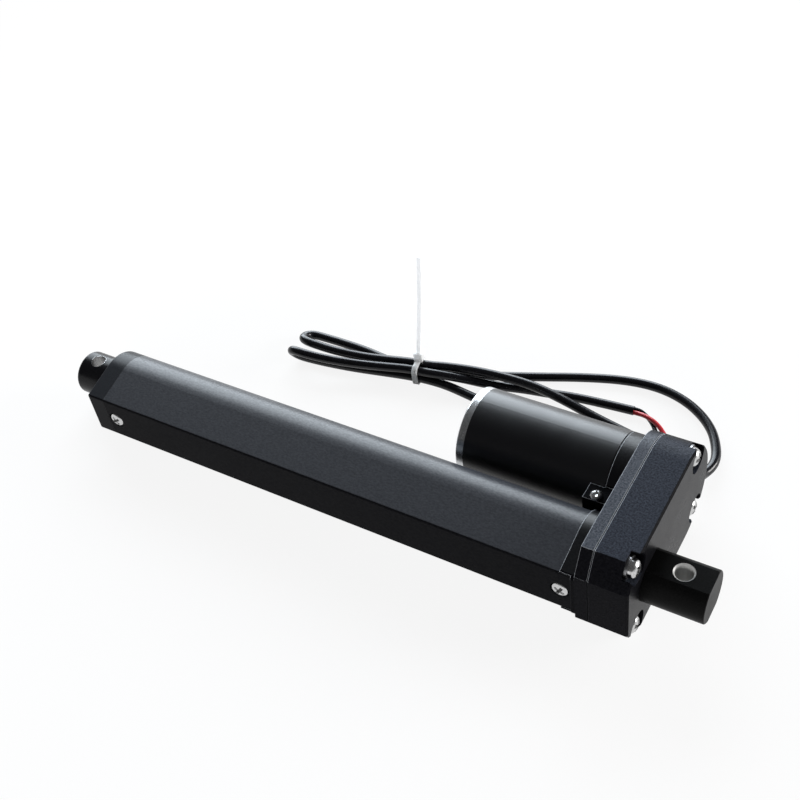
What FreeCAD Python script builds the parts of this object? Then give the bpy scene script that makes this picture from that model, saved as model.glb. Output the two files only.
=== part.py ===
import FreeCAD, Part
import math
import os

# Electric rod actuator, lying on its side with the rod drawn in. Millimetres.
# Origin: centre of the rear pivot hole. +X runs along the rod, +Z along the pivot holes,
# and the motor lies beside the tube on the -Y side.

# Driving dimensions of the whole actuator
stroke = 150.0
dead_length = 105.0            # pivot to pivot, drawn in, less the stroke
pivot_hole_r = 3.2
pivot_chamfer = 0.6
run_fit = 0.03                 # radial clearance of a shaft in its bush
slip_fit = 0.05                # clearance of pieces that are put together by hand
seat_gap = 0.2                 # clearance of a piece that slides or turns in a wider space

# Rod, nut and screw
rod_r = 9.0
rod_bore_r = 7.0
tip_overhang = 7.7             # pivot hole centre to the end of the tip
tip_reach = 9.8                # front of the cap to the pivot hole, rod drawn in
tip_gap = 0.5                  # tip shoulder off the cap's face
tip_round = 1.6
tip_shank_gap = 5.2            # screw's end to the tip's shank, rod drawn in
tip_pin_r = 1.5
tip_pin_share = 0.47           # pin behind the tip's shoulder, in shank lengths
screw_r = 5.0
nut_step = 1.3                 # nut flange over the rod's radius
nut_length = 16.0
nut_spigot = 10.0
nut_gap = 4.0                  # nut off the bearing carrier, rod drawn in
cam_length = 7.0
cam_setback = 6.4              # nut's rear face to the cam
cam_depth = 3.2
cam_half_width = 2.5
screw_overrun = 1.5            # tip guide off the nut, rod out
guide_length = 4.0
guide_core_r = 3.5

# Extruded tube with a round bore and a channel for the limit switches
tube_wall = 3.25
channel_depth = 6.1
channel_half_width = 5.2
channel_floor = 1.85
side_lean = 14.0               # degrees that the two sides lean in towards the flat
tube_edge_r = 0.9

# Front cap, bush and wiper
cap_length = 8.1
cap_edge_r = 0.8
cap_bore_gap = 0.3
spigot_length = 6.0
cap_key_length = 11.0
bush_length = 12.0
wiper_depth = 3.0
wiper_width = 2.4

# Gear train
gear_module = 0.8
pressure_angle = 25.0
addendum = 0.9                 # in modules
dedendum = 1.25                # in modules
backlash = 0.12
pinion_teeth = 12
idler_wheel_teeth = 33
idler_pinion_teeth = 14
screw_gear_teeth = 30
screw_gear_width = 4.6
idler_wheel_width = 4.0
layer_gap = 0.5
end_gap = 0.4
screw_gear_bore_r = 4.0
screw_flat = 3.2
screw_neck_r = 3.0
idler_pin_r = 2.0
idler_boss_r = 4.0
pin_seat = 1.5                 # depth of the idler pin in each housing wall

# Gear housing, two halves
pivot_to_housing = 11.5
rear_wall = 2.5
front_wall = 2.3
side_wall = 2.4
front_half_depth = 4.6
gasket_thickness = 0.3
housing_half_height = 20.7
near_flat_half = 11.3
near_chamfer = 6.1             # along Y
far_wall = 2.3                 # housing beyond the motor at the far end
housing_edge = 0.7
collar_wall = 0.75
collar_length = 5.55
collar_flat_length = 1.5       # collar over the tube's flat
carrier_length = 9.7           # bearing carrier in the tube
motor_collar_length = 6.34

# Housing screws in open corner pockets
screw_shank_r = 2.0
screw_head_r = 3.5
screw_head_height = 3.2
washer_r = 4.2
washer_thickness = 0.9
pocket_r = 5.7
pocket_depth = 3.6
pocket_wall = 1.6
screw_boss_r = 4.4
near_screw_in = 8.4            # screw axis behind the near face
near_screw_down = 5.1          # screw axis below the top face
far_screw_inset = 4.5
far_screw_angle = 56.3
thread_depth = 3.4

# Side screws, clamp screw and motor screws
side_head_r = 3.1
side_head_height = 1.5
side_recess = 0.8
side_recess_gap = 0.4
side_screw_length = 7.0
cap_screw_back = 4.4           # behind the cap's seam
tube_screw_out = 5.7           # in front of the housing
clamp_head_r = 2.35
clamp_head_height = 2.0
clamp_shank_r = 1.25
motor_screw_r = 1.5
motor_screw_head_r = 2.75
motor_screw_head = 2.2
motor_screw_circle = 10.2
motor_screw_bite = 1.6

# Clamp lug between the tube and the motor
lug_length = 11.8
lug_near_y = -14.0
lug_far_y = -26.0
lug_half_height = 10.0
lug_slit = 1.6
clamp_screw_out = 7.4          # in front of the housing
clamp_screw_y = -16.2
clamp_floor = 2.0              # lug left below the clamp screw

# Rear clevis, a round bar with two flats
clevis_r = 9.4
clevis_thickness = 16.0
clevis_overhang = 10.25
clevis_edge = 0.6
clevis_flange_r = 11.0
clevis_flange = 2.4
thrust_bush_r = 4.0
thrust_flange_r = 6.0
thrust_flange = 2.0
thrust_seat = 1.8
thrust_gap = 0.1

# Screw bearing
bearing_bore_r = 4.0
bearing_outer_r = 8.0
bearing_width = 5.0
bearing_ring = 1.25
ball_r = 1.2
ball_count = 8
ball_play = 0.03
bearing_land = 0.7             # carrier shoulder behind the bearing
circlip_thickness = 0.8

# Motor
can_r = 17.3
can_wall = 1.5
can_length = 55.5
can_front_plate = 1.8
end_cap_length = 3.25
end_cap_spigot = 4.0
end_cap_plate = 1.4
motor_hub_r = 6.5
motor_hub_length = 3.6
end_hub_r = 6.0
end_hub_length = 3.0
shaft_r = 1.585
motor_bush_r = 4.0
motor_bush_length = 3.4
magnet_thickness = 2.4
magnet_span = 132.0
magnet_length = 32.0
magnet_start = 15.5            # behind the can's front face
air_gap = 0.5
core_length = 28.0
pole_count = 5
pole_neck_half = 1.7
pole_shoe = 1.8
slot_opening = 2.2
core_hub_r = 4.2
coil_bulge = 2.2
commutator_r = 4.0
commutator_length = 7.0
commutator_start = 7.0
segment_slot_depth = 0.5
segment_slot_half = 0.25
brush_width = 4.0
brush_length = 5.0
brush_reach = 5.5
brush_plate_thickness = 1.5
brush_plate_start = 4.6

# Limit switches
board_thickness = 1.0
board_half_width = 4.9
switch_length = 7.0
switch_half_width = 3.0
switch_height = 4.6
plunger_r = 0.8
plunger_out = 1.1
plunger_in = 2.6
plunger_travel = 0.6
plunger_fit = 0.06
switch_gap = 0.3               # cam off the plunger at either end of the stroke
key_gap = 0.3                  # key of the cap or carrier off the channel's walls
board_gap = 1.0

# Power cable, its grommet, its cores and the tie round its hank
cable_r = 1.9
core_r = 0.9
core_lead = 2.0                # straight part of a core past the jacket
grommet_x = 15.6
grommet_angle = 30.0           # degrees below the far point of the housing
grommet_dip = 35.0             # degrees that it points down
grommet_flange_r = 3.6
grommet_flange = 1.6
grommet_neck_r = 2.8
grommet_tip_r = 2.2
grommet_length = 6.4
grommet_bite = 2.9             # neck into the housing's wall
cable_lead = 5.6               # straight part of the cable past the grommet
tie_centre_x = 139.3
tie_centre_y = -65.5
tie_turn = 9.0                 # degrees, square to the hank
tie_lift = 1.35                # low strands over where they would lie
strand_pitch = 4.2             # tied strands side by side
strand_rise = 4.15             # tied strands one above the other
tied_half = 4.0                # half of a strand's straight part in the tie
tie_width = 2.2
tie_thickness = 0.8
tie_slack = 0.2
tie_head_width = 3.6
tie_head_depth = 3.3
tie_head_height = 4.2
tie_tail_width = 1.5
tie_tail_length = 55.0
tie_tail_bow = 500.0           # radius of the tail's bow
tie_tail_lean = 8.0            # degrees towards the motor

# Stations along X, worked out from the sizes above
front_pivot_x = stroke + dead_length
cap_front_x = front_pivot_x - tip_reach
tube_front_x = cap_front_x - cap_length
rear_face_x = pivot_to_housing
rear_inner_x = rear_face_x + rear_wall
thrust_x = rear_inner_x + clevis_flange
screw_gear_x = thrust_x + thrust_flange + thrust_gap
wheel_x = screw_gear_x + screw_gear_width + layer_gap
front_inner_x = wheel_x + idler_wheel_width + end_gap
front_x = front_inner_x + front_wall
seam_x = front_x - front_half_depth
tube_rear_x = front_x + slip_fit
carrier_end_x = front_x + carrier_length
bearing_x = front_x + bearing_land
nut_x = carrier_end_x + nut_gap
screw_end_x = nut_x + nut_length + nut_spigot + stroke + screw_overrun + guide_length
tip_x = cap_front_x + tip_gap
tip_shank = tip_x - screw_end_x - tip_shank_gap
tip_pin_back = tip_pin_share * tip_shank
can_x = front_x + motor_collar_length + slip_fit
can_end_x = can_x + can_length
motor_end_x = can_end_x + end_cap_length

# Stations across the part
nut_r = rod_r + nut_step
bore_r = nut_r + seat_gap
arch_r = bore_r + tube_wall
flat_y = bore_r + channel_depth + channel_floor
channel_y = flat_y - channel_floor
near_y = flat_y + collar_wall
first_centre = gear_module * (pinion_teeth + idler_wheel_teeth) / 2
second_centre = gear_module * (idler_pinion_teeth + screw_gear_teeth) / 2
idler_y = -second_centre
motor_y = -second_centre - first_centre
far_y = motor_y - can_r - far_wall
far_centre_y = far_y + housing_half_height
side_seat_y = flat_y - side_recess
board_y = channel_y - seat_gap - board_thickness
switch_y = board_y - switch_height
plunger_y = bore_r + cam_depth / 2
x_axis = FreeCAD.Vector(1, 0, 0)
y_axis = FreeCAD.Vector(0, 1, 0)
z_axis = FreeCAD.Vector(0, 0, 1)


def point(x, y, z):
    return FreeCAD.Vector(x, y, z)


def rod_along_x(x0, x1, radius, y=0.0, z=0.0):
    return Part.makeCylinder(radius, x1 - x0, point(x0, y, z), x_axis)


def ring_along_x(x0, x1, outer, inner, y=0.0, z=0.0):
    return rod_along_x(x0, x1, outer, y, z).cut(rod_along_x(x0 - 1, x1 + 1, inner, y, z))


def block(x0, x1, y0, y1, z0, z1):
    return Part.makeBox(x1 - x0, y1 - y0, z1 - z0, point(x0, y0, z0))


def prism(edges, x0, x1):
    face = Part.Face(Part.Wire(edges))
    face.translate(x_axis * x0)
    return face.extrude(x_axis * (x1 - x0))


def line(a, b):
    return Part.LineSegment(point(0, *a), point(0, *b)).toShape()


def arc(a, b, c):
    return Part.Arc(point(0, *a), point(0, *b), point(0, *c)).toShape()


def polar(radius, angle, y=0.0, z=0.0):
    return (y + radius * math.cos(angle), z + radius * math.sin(angle))


def fused(shapes):
    whole = shapes[0]
    for shape in shapes[1:]:
        whole = whole.fuse(shape)
    return whole.removeSplitter()


def edges_at_x(shape, x):
    return [e for e in shape.Edges if all(abs(v.Point.x - x) < 1e-6 for v in e.Vertexes)
            and abs(e.CenterOfMass.x - x) < 1e-6]


# Tube outline: a round arch about the rod, two leaning sides and a flat, grown by an offset
def tube_prism(x0, x1, grow=0.0, edge_r=0.0):
    radius = arch_r + grow
    flat = flat_y + grow
    normal = math.radians(90 - side_lean)
    half = (radius - flat * math.cos(normal)) / math.sin(normal)
    upper = polar(radius, normal)
    lower = (upper[0], -upper[1])
    edges = [line((flat, -half), (flat, half)), line((flat, half), upper),
             arc(upper, (-radius, 0), lower), line(lower, (flat, -half))]
    solid = prism(edges, x0, x1)
    if edge_r > 0:
        corners = [e for e in solid.Edges
                   if abs(e.CenterOfMass.y - flat) < 1e-6 and abs(abs(e.CenterOfMass.z) - half) < 1e-6]
        solid = solid.makeFillet(edge_r, corners)
    return solid


# Housing outline: round about the motor at the far end, bevelled at the near end, shrunk by an inset
def housing_prism(x0, x1, inset=0.0):
    bevel = point(0, housing_half_height - near_flat_half, near_chamfer)
    bevel.normalize()
    reach = bevel.y * near_y + bevel.z * near_flat_half - inset
    high = housing_half_height - inset
    near = near_y - inset
    near_half = (reach - bevel.y * near) / bevel.z
    shoulder_y = (reach - bevel.z * high) / bevel.y
    edges = [line((near, -near_half), (near, near_half)),
             line((near, near_half), (shoulder_y, high)),
             line((shoulder_y, high), (far_centre_y, high)),
             arc((far_centre_y, high), (far_centre_y - high, 0), (far_centre_y, -high)),
             line((far_centre_y, -high), (shoulder_y, -high)),
             line((shoulder_y, -high), (near, -near_half))]
    return prism(edges, x0, x1)


# Places of the four housing screws, as (y, z)
def housing_screw_places():
    near = (near_y - near_screw_in, housing_half_height - near_screw_down)
    swing = math.pi - math.radians(far_screw_angle)
    far = polar(housing_half_height - far_screw_inset, swing, far_centre_y)
    return [near, (near[0], -near[1]), far, (far[0], -far[1])]


# Spur gear with involute flanks, its first tooth centred on the angle given
def gear_prism(teeth, x0, x1, y, first_tooth):
    pitch_r = gear_module * teeth / 2
    base_r = pitch_r * math.cos(math.radians(pressure_angle))
    tip_r = pitch_r + addendum * gear_module
    root_r = pitch_r - dedendum * gear_module
    half_pitch = (math.pi * gear_module / 2 - backlash) / 2 / pitch_r

    def involute(radius):
        slope = math.acos(min(1.0, base_r / radius))
        return math.tan(slope) - slope

    def half_angle(radius):
        return half_pitch + involute(pitch_r) - involute(max(radius, base_r))

    start_r = max(base_r, root_r)
    middle_r = (start_r + tip_r) / 2
    edges = []
    for tooth in range(teeth):
        centre = first_tooth + 2 * math.pi * tooth / teeth
        following = centre + 2 * math.pi / teeth
        rise = [polar(r, centre - half_angle(r), y) for r in (start_r, middle_r, tip_r)]
        fall = [polar(r, centre + half_angle(r), y) for r in (tip_r, middle_r, start_r)]
        if root_r < base_r:
            edges.append(line(polar(root_r, centre - half_angle(start_r), y), rise[0]))
        edges.append(arc(*rise))
        edges.append(line(rise[2], fall[0]))
        edges.append(arc(*fall))
        if root_r < base_r:
            edges.append(line(fall[2], polar(root_r, centre + half_angle(start_r), y)))
        valley = [centre + half_angle(start_r), centre + math.pi / teeth, following - half_angle(start_r)]
        edges.append(arc(*[polar(root_r, a, y) for a in valley]))
    return prism(edges, x0, x1)


# Pan head on a plain shank, pointing along the direction given from under the head
def pan_screw(seat, direction, head_r, head_height, shank_r, length):
    crown_r = 0.62 * head_r
    rim = head_height * 0.45
    profile = [point(0, 0, -head_height), point(crown_r, 0, -head_height), point(head_r, 0, -rim),
               point(head_r, 0, 0), point(shank_r, 0, 0), point(shank_r, 0, length), point(0, 0, length)]
    face = Part.Face(Part.makePolygon(profile + profile[:1]))
    solid = face.revolve(point(0, 0, 0), z_axis, 360)
    solid.Placement = FreeCAD.Placement(seat, FreeCAD.Rotation(z_axis, direction))
    return solid


# Tube along straight runs joined by the largest arcs that they allow, and its least radius
def cord_tube(places, radius):
    spots = [point(*p) for p in places]
    runs = [(b - a).Length for a, b in zip(spots, spots[1:])]
    edges = []
    radii = []
    start = spots[0]
    for i in range(1, len(spots) - 1):
        before = (spots[i] - spots[i - 1]).normalize()
        after = (spots[i + 1] - spots[i]).normalize()
        turn = before.getAngle(after)
        cut = 0.45 * min(runs[i - 1], runs[i])
        bend = cut / math.tan(turn / 2)
        enter = spots[i] - before * cut
        leave = spots[i] + after * cut
        inward = (after - before).normalize()
        middle = spots[i] + inward * (bend / math.cos(turn / 2) - bend)
        edges.append(Part.LineSegment(start, enter).toShape())
        edges.append(Part.Arc(enter, middle, leave).toShape())
        radii.append(bend)
        start = leave
    edges.append(Part.LineSegment(start, spots[-1]).toShape())
    path = Part.Wire(edges)
    first = (spots[1] - spots[0]).normalize()
    section = Part.Wire(Part.Circle(spots[0], first, radius).toShape())
    tube = path.makePipeShell([section], True, False)
    return tube, path.Length, radii


def rear_clevis():
    end_x = rear_inner_x + clevis_flange
    bar = rod_along_x(-clevis_overhang, rear_inner_x + 1, clevis_r)
    bar = bar.makeFillet(clevis_edge, edges_at_x(bar, -clevis_overhang))
    half = clevis_thickness / 2
    bar = bar.common(block(-clevis_overhang - 1, rear_inner_x + 2, -clevis_r, clevis_r, -half, half))
    bar = bar.fuse(rod_along_x(rear_inner_x, end_x, clevis_flange_r))
    hole = Part.makeCylinder(pivot_hole_r, 2 * clevis_thickness, point(0, 0, -clevis_thickness), z_axis)
    mouth_r = pivot_hole_r + pivot_chamfer
    for side in (1, -1):
        mouth = Part.makeCone(mouth_r, pivot_hole_r, pivot_chamfer, point(0, 0, side * half), z_axis * -side)
        hole = hole.fuse(mouth)
    socket = rod_along_x(end_x - thrust_seat, end_x + 1, thrust_bush_r + slip_fit)
    return bar.cut(hole).cut(socket).removeSplitter()


def clevis_section(grow):
    half = clevis_thickness / 2 + grow
    wide = clevis_r + 2 * grow
    bar = rod_along_x(rear_face_x - 1, rear_inner_x + 1, clevis_r + grow)
    return bar.common(block(rear_face_x - 2, rear_inner_x + 2, -wide, wide, -half, half))


def thrust_bush():
    end_x = thrust_x + thrust_flange
    body = rod_along_x(thrust_x - thrust_seat + slip_fit, thrust_x + slip_fit, thrust_bush_r)
    body = body.fuse(rod_along_x(thrust_x, end_x, thrust_flange_r))
    bore = rod_along_x(thrust_x - thrust_seat - 1, end_x + 1, screw_neck_r + run_fit)
    return body.cut(bore).removeSplitter()


def grommet_frame():
    swing = math.pi + math.radians(grommet_angle)
    y, z = polar(housing_half_height, swing, far_centre_y)
    dip = math.radians(grommet_dip)
    return point(grommet_x, y, z), point(0, -math.cos(dip), -math.sin(dip))


def gear_housing_rear():
    back_x = seam_x - gasket_thickness / 2
    outer = housing_prism(rear_face_x, back_x)
    outer = outer.makeChamfer(housing_edge, edges_at_x(outer, rear_face_x))
    shell = outer.cut(housing_prism(rear_inner_x, back_x + 1, side_wall))
    pocket_x = rear_face_x + pocket_depth
    posts = []
    for y, z in housing_screw_places():
        posts.append(rod_along_x(rear_inner_x - 0.5, pocket_x + pocket_wall, pocket_r + pocket_wall, y, z))
        posts.append(rod_along_x(rear_inner_x - 0.5, back_x, screw_boss_r, y, z))
    shell = shell.fuse(fused(posts).common(outer))
    boss_end = screw_gear_x - seat_gap
    shell = shell.fuse(rod_along_x(rear_inner_x - 0.5, boss_end, idler_boss_r, idler_y))
    cuts = [clevis_section(slip_fit), rod_along_x(rear_inner_x, back_x, clevis_flange_r + seat_gap)]
    cuts.append(rod_along_x(rear_inner_x - pin_seat, back_x, idler_pin_r + slip_fit, idler_y))
    for y, z in housing_screw_places():
        cuts.append(rod_along_x(rear_face_x - 1, pocket_x, pocket_r, y, z))
        cuts.append(rod_along_x(rear_face_x, back_x + 1, screw_shank_r + seat_gap, y, z))
    seat, way = grommet_frame()
    cuts.append(Part.makeCylinder(grommet_neck_r + slip_fit, 4 * side_wall, seat - way * 3 * side_wall, way))
    for cutter in cuts:
        shell = shell.cut(cutter)
    return shell.removeSplitter()


def housing_gasket():
    back_x = seam_x - gasket_thickness / 2
    front = seam_x + gasket_thickness / 2
    sheet = housing_prism(back_x, front, housing_edge)
    hollow = housing_prism(back_x - 1, front + 1, side_wall)
    for y, z in housing_screw_places():
        hollow = hollow.cut(rod_along_x(back_x - 2, front + 2, screw_boss_r, y, z))
        sheet = sheet.cut(rod_along_x(back_x - 2, front + 2, screw_shank_r + seat_gap, y, z))
    return sheet.cut(hollow).removeSplitter()


def gear_housing_front():
    back_x = seam_x + gasket_thickness / 2
    plate = housing_prism(back_x, front_x)
    hollow = housing_prism(back_x - 1, front_inner_x, side_wall)
    for y, z in housing_screw_places():
        hollow = hollow.cut(rod_along_x(back_x - 2, front_x, screw_boss_r, y, z))
    plate = plate.cut(hollow)
    # collar round the tube's end, cut back on the flat where the side screw sits
    collar_end = front_x + collar_length
    collar = tube_prism(front_x, collar_end, collar_wall, tube_edge_r + collar_wall)
    collar = collar.cut(tube_prism(tube_rear_x - slip_fit, collar_end + 1, slip_fit))
    wide = 2 * arch_r
    collar = collar.cut(block(front_x + collar_flat_length, collar_end + 1, flat_y, near_y + 1, -wide, wide))
    # carrier of the screw bearing with its key in the tube's channel
    carrier = rod_along_x(front_x, carrier_end_x, bore_r - slip_fit)
    key = block(front_x, carrier_end_x, 0, channel_y - key_gap,
                -channel_half_width + key_gap, channel_half_width - key_gap)
    # round seat of the motor
    motor_collar = rod_along_x(front_x, front_x + motor_collar_length, can_r, motor_y)
    # clamp lug with its slit
    lug = block(front_x, front_x + lug_length, lug_far_y, lug_near_y, -lug_half_height, lug_half_height)
    lug = lug.cut(tube_prism(front_x - 1, front_x + lug_length + 1, key_gap))
    lug = lug.cut(rod_along_x(front_x + motor_collar_length, can_end_x, can_r + key_gap, motor_y))
    slit = block(front_x + 1, front_x + lug_length + 1, lug_far_y, lug_near_y, -lug_slit / 2, lug_slit / 2)
    slit = slit.cut(rod_along_x(front_x, front_x + motor_collar_length, can_r, motor_y))
    body = fused([plate, collar, carrier.fuse(key), motor_collar, lug.cut(slit)])
    cuts = [rod_along_x(back_x - 1, carrier_end_x + 1, bearing_bore_r + bearing_ring + seat_gap),
            rod_along_x(bearing_x, carrier_end_x + 1, bearing_outer_r + run_fit),
            rod_along_x(front_inner_x - 1, front_inner_x + pin_seat, idler_pin_r + slip_fit, idler_y),
            rod_along_x(front_inner_x - 1, can_x + 1, motor_hub_r + slip_fit, motor_y)]
    for y, z in housing_screw_places():
        cuts.append(rod_along_x(back_x - 1, back_x + thread_depth, screw_shank_r + slip_fit, y, z))
    head_end = front_inner_x + motor_screw_head + slip_fit
    for side in (1, -1):
        z = side * motor_screw_circle
        cuts.append(rod_along_x(front_inner_x - 1, head_end, motor_screw_head_r + seat_gap, motor_y, z))
        cuts.append(rod_along_x(front_inner_x, can_x + 1, motor_screw_r + slip_fit, motor_y, z))
    depth = side_screw_length + slip_fit
    screw_seat = point(front_x + tube_screw_out, side_seat_y, 0)
    cuts.append(Part.makeCylinder(screw_shank_r + slip_fit, depth, screw_seat, -y_axis))
    bore = clamp_shank_r + slip_fit
    lug_x = front_x + clamp_screw_out
    foot = point(lug_x, clamp_screw_y, -lug_half_height + clamp_floor)
    cuts.append(Part.makeCylinder(bore, 2 * lug_half_height, foot))
    for cutter in cuts:
        body = body.cut(cutter)
    return body.removeSplitter()


def housing_screws():
    seat_x = rear_face_x + pocket_depth - washer_thickness
    length = seam_x + gasket_thickness / 2 + thread_depth - seat_gap - seat_x
    return Part.makeCompound([pan_screw(point(seat_x, y, z), x_axis, screw_head_r, screw_head_height,
                                        screw_shank_r, length) for y, z in housing_screw_places()])


def screw_washers():
    end_x = rear_face_x + pocket_depth
    return Part.makeCompound([ring_along_x(end_x - washer_thickness, end_x, washer_r,
                                           screw_shank_r + slip_fit, y, z)
                              for y, z in housing_screw_places()])


def outer_tube():
    tube = tube_prism(tube_rear_x, tube_front_x, 0.0, tube_edge_r)
    tube = tube.cut(rod_along_x(tube_rear_x - 1, tube_front_x + 1, bore_r))
    tube = tube.cut(block(tube_rear_x - 1, tube_front_x + 1, 0, channel_y,
                          -channel_half_width, channel_half_width))
    for x in side_screw_stations():
        top = point(x, flat_y + 1, 0)
        tube = tube.cut(Part.makeCylinder(screw_shank_r + slip_fit, 2 * channel_floor, top, -y_axis))
        tube = tube.cut(Part.makeCylinder(side_head_r + side_recess_gap, 1 + side_recess, top, -y_axis))
    return tube.removeSplitter()


def side_screw_stations():
    return [tube_front_x - cap_screw_back, front_x + tube_screw_out]


def side_screws():
    return Part.makeCompound([pan_screw(point(x, side_seat_y, 0), -y_axis, side_head_r, side_head_height,
                                        screw_shank_r, side_screw_length) for x in side_screw_stations()])


def clamp_screw():
    seat = point(front_x + clamp_screw_out, clamp_screw_y, lug_half_height)
    length = 2 * lug_half_height - clamp_floor - key_gap
    return pan_screw(seat, -z_axis, clamp_head_r, clamp_head_height, clamp_shank_r, length)


def front_cap():
    cap = tube_prism(tube_front_x, cap_front_x, 0.0, tube_edge_r)
    cap = cap.makeFillet(cap_edge_r, edges_at_x(cap, cap_front_x))
    cap = cap.fuse(rod_along_x(tube_front_x - spigot_length, tube_front_x, bore_r - slip_fit))
    key = block(tube_front_x - cap_key_length, tube_front_x, 0, channel_y - key_gap,
                -channel_half_width + key_gap, channel_half_width - key_gap)
    key = key.cut(rod_along_x(0, tube_front_x - spigot_length, bore_r + seat_gap))
    cap = cap.fuse(key)
    cap = cap.cut(rod_along_x(tube_front_x - cap_key_length - 1, cap_front_x + 1, rod_r + cap_bore_gap))
    cap = cap.cut(rod_along_x(cap_front_x - wiper_depth, cap_front_x + 1, rod_r + wiper_width + slip_fit))
    bore = Part.makeCylinder(screw_shank_r + slip_fit, side_screw_length + slip_fit,
                             point(tube_front_x - cap_screw_back, side_seat_y, 0), -y_axis)
    return cap.cut(bore).removeSplitter()


def rod_wiper():
    back_x = cap_front_x - wiper_depth + slip_fit
    lip_x = cap_front_x - slip_fit
    ring = rod_along_x(back_x, lip_x, rod_r + wiper_width)
    ring = ring.makeChamfer(0.4 * wiper_width, edges_at_x(ring, lip_x))
    return ring.cut(rod_along_x(back_x - 1, lip_x + 1, rod_r + slip_fit))


def front_bush():
    end_x = tube_front_x - spigot_length - slip_fit
    return ring_along_x(end_x - bush_length, end_x, bore_r - slip_fit, rod_r + slip_fit)


def extension_rod():
    rod = ring_along_x(nut_x + nut_length, tip_x, rod_r, rod_bore_r)
    return rod.cut(tip_pin_hole())


def tip_pin_hole():
    return Part.makeCylinder(tip_pin_r + slip_fit, 4 * rod_r,
                             point(tip_x - tip_pin_back, -2 * rod_r, 0), y_axis)


def tip_pin():
    half = rod_r - seat_gap
    return Part.makeCylinder(tip_pin_r, 2 * half, point(tip_x - tip_pin_back, -half, 0), y_axis)


def rod_tip():
    end_x = front_pivot_x + tip_overhang
    tip = rod_along_x(tip_x, end_x, rod_r)
    tip = tip.makeFillet(tip_round, edges_at_x(tip, end_x))
    tip = tip.fuse(rod_along_x(tip_x - tip_shank, tip_x, rod_bore_r - slip_fit))
    hole = Part.makeCylinder(pivot_hole_r, 4 * rod_r, point(front_pivot_x, 0, -2 * rod_r), z_axis)
    return tip.cut(hole).cut(tip_pin_hole()).removeSplitter()


def drive_nut():
    end_x = nut_x + nut_length
    nut = rod_along_x(nut_x, end_x, nut_r)
    nut = nut.fuse(rod_along_x(end_x, end_x + nut_spigot, rod_bore_r - slip_fit))
    cam = block(nut_x + cam_setback, nut_x + cam_setback + cam_length, 0, bore_r + cam_depth,
                -cam_half_width, cam_half_width)
    nut = nut.fuse(cam)
    return nut.cut(rod_along_x(nut_x - 1, end_x + nut_spigot + 1, screw_r + slip_fit)).removeSplitter()


def gear_seat(x0, x1, grow):
    seat = rod_along_x(x0, x1, screw_gear_bore_r + grow)
    wide = 2 * screw_gear_bore_r
    return seat.common(block(x0 - 1, x1 + 1, -wide, wide, -wide, screw_flat + grow))


def lead_screw():
    neck_x = thrust_x - thrust_seat + seat_gap
    shoulder_x = bearing_x + bearing_width
    guide_x = screw_end_x - guide_length
    parts = [rod_along_x(neck_x, bearing_x, screw_neck_r),
             gear_seat(screw_gear_x, screw_gear_x + screw_gear_width, 0),
             rod_along_x(bearing_x, shoulder_x, bearing_bore_r - slip_fit),
             rod_along_x(shoulder_x, guide_x, screw_r),
             rod_along_x(guide_x, screw_end_x, guide_core_r)]
    return fused(parts)


def screw_gear():
    end_x = screw_gear_x + screw_gear_width
    gear = gear_prism(screw_gear_teeth, screw_gear_x, end_x, 0.0, math.pi + math.pi / screw_gear_teeth)
    return gear.cut(gear_seat(screw_gear_x - 1, end_x + 1, slip_fit))


def screw_tip_guide():
    return ring_along_x(screw_end_x - guide_length + slip_fit, screw_end_x,
                        rod_bore_r - seat_gap, guide_core_r + slip_fit)


def idler_gear():
    wheel_end = wheel_x + idler_wheel_width
    small = gear_prism(idler_pinion_teeth, screw_gear_x, wheel_x, idler_y, 0.0)
    large = gear_prism(idler_wheel_teeth, wheel_x, wheel_end, idler_y, math.pi + math.pi / idler_wheel_teeth)
    bore = rod_along_x(screw_gear_x - 1, wheel_end + 1, idler_pin_r + run_fit, idler_y)
    return small.fuse(large).cut(bore).removeSplitter()


def idler_pin():
    return rod_along_x(rear_inner_x - pin_seat + slip_fit, front_inner_x + pin_seat - slip_fit,
                       idler_pin_r, idler_y)


def bearing_outer_ring():
    ring = ring_along_x(bearing_x, bearing_x + bearing_width, bearing_outer_r, bearing_outer_r - bearing_ring)
    return ring.cut(ball_race())


def bearing_inner_ring():
    ring = ring_along_x(bearing_x, bearing_x + bearing_width, bearing_bore_r + bearing_ring, bearing_bore_r)
    return ring.cut(ball_race())


def ball_race():
    middle_r = (bearing_bore_r + bearing_outer_r) / 2
    return Part.makeTorus(middle_r, ball_r + ball_play, point(bearing_x + bearing_width / 2, 0, 0), x_axis)


def bearing_balls():
    middle_r = (bearing_bore_r + bearing_outer_r) / 2
    balls = []
    for i in range(ball_count):
        y, z = polar(middle_r, 2 * math.pi * i / ball_count)
        balls.append(Part.makeSphere(ball_r, point(bearing_x + bearing_width / 2, y, z)))
    return Part.makeCompound(balls)


def bearing_circlip():
    back_x = bearing_x + bearing_width + slip_fit
    ring = ring_along_x(back_x, back_x + circlip_thickness, bearing_outer_r,
                        bearing_outer_r - bearing_ring)
    gap = bearing_ring
    return ring.cut(block(back_x - 1, back_x + 2, -2 * bearing_outer_r, 0, -gap, gap))


def motor_can():
    can = rod_along_x(can_x, can_end_x, can_r, motor_y)
    can = can.makeFillet(can_wall / 3, edges_at_x(can, can_x))
    can = can.cut(rod_along_x(can_x + can_front_plate, can_end_x + 1, can_r - can_wall, motor_y))
    hub_x = can_x - motor_hub_length
    can = can.fuse(rod_along_x(hub_x, can_x + can_front_plate, motor_hub_r, motor_y))
    can = can.cut(rod_along_x(hub_x - 1, can_x + can_front_plate + 1, motor_bush_r + slip_fit, motor_y))
    for side in (1, -1):
        hole = rod_along_x(can_x - 1, can_x + motor_screw_bite + slip_fit, motor_screw_r + slip_fit,
                           motor_y, side * motor_screw_circle)
        can = can.cut(hole)
    return can.removeSplitter()


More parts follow.
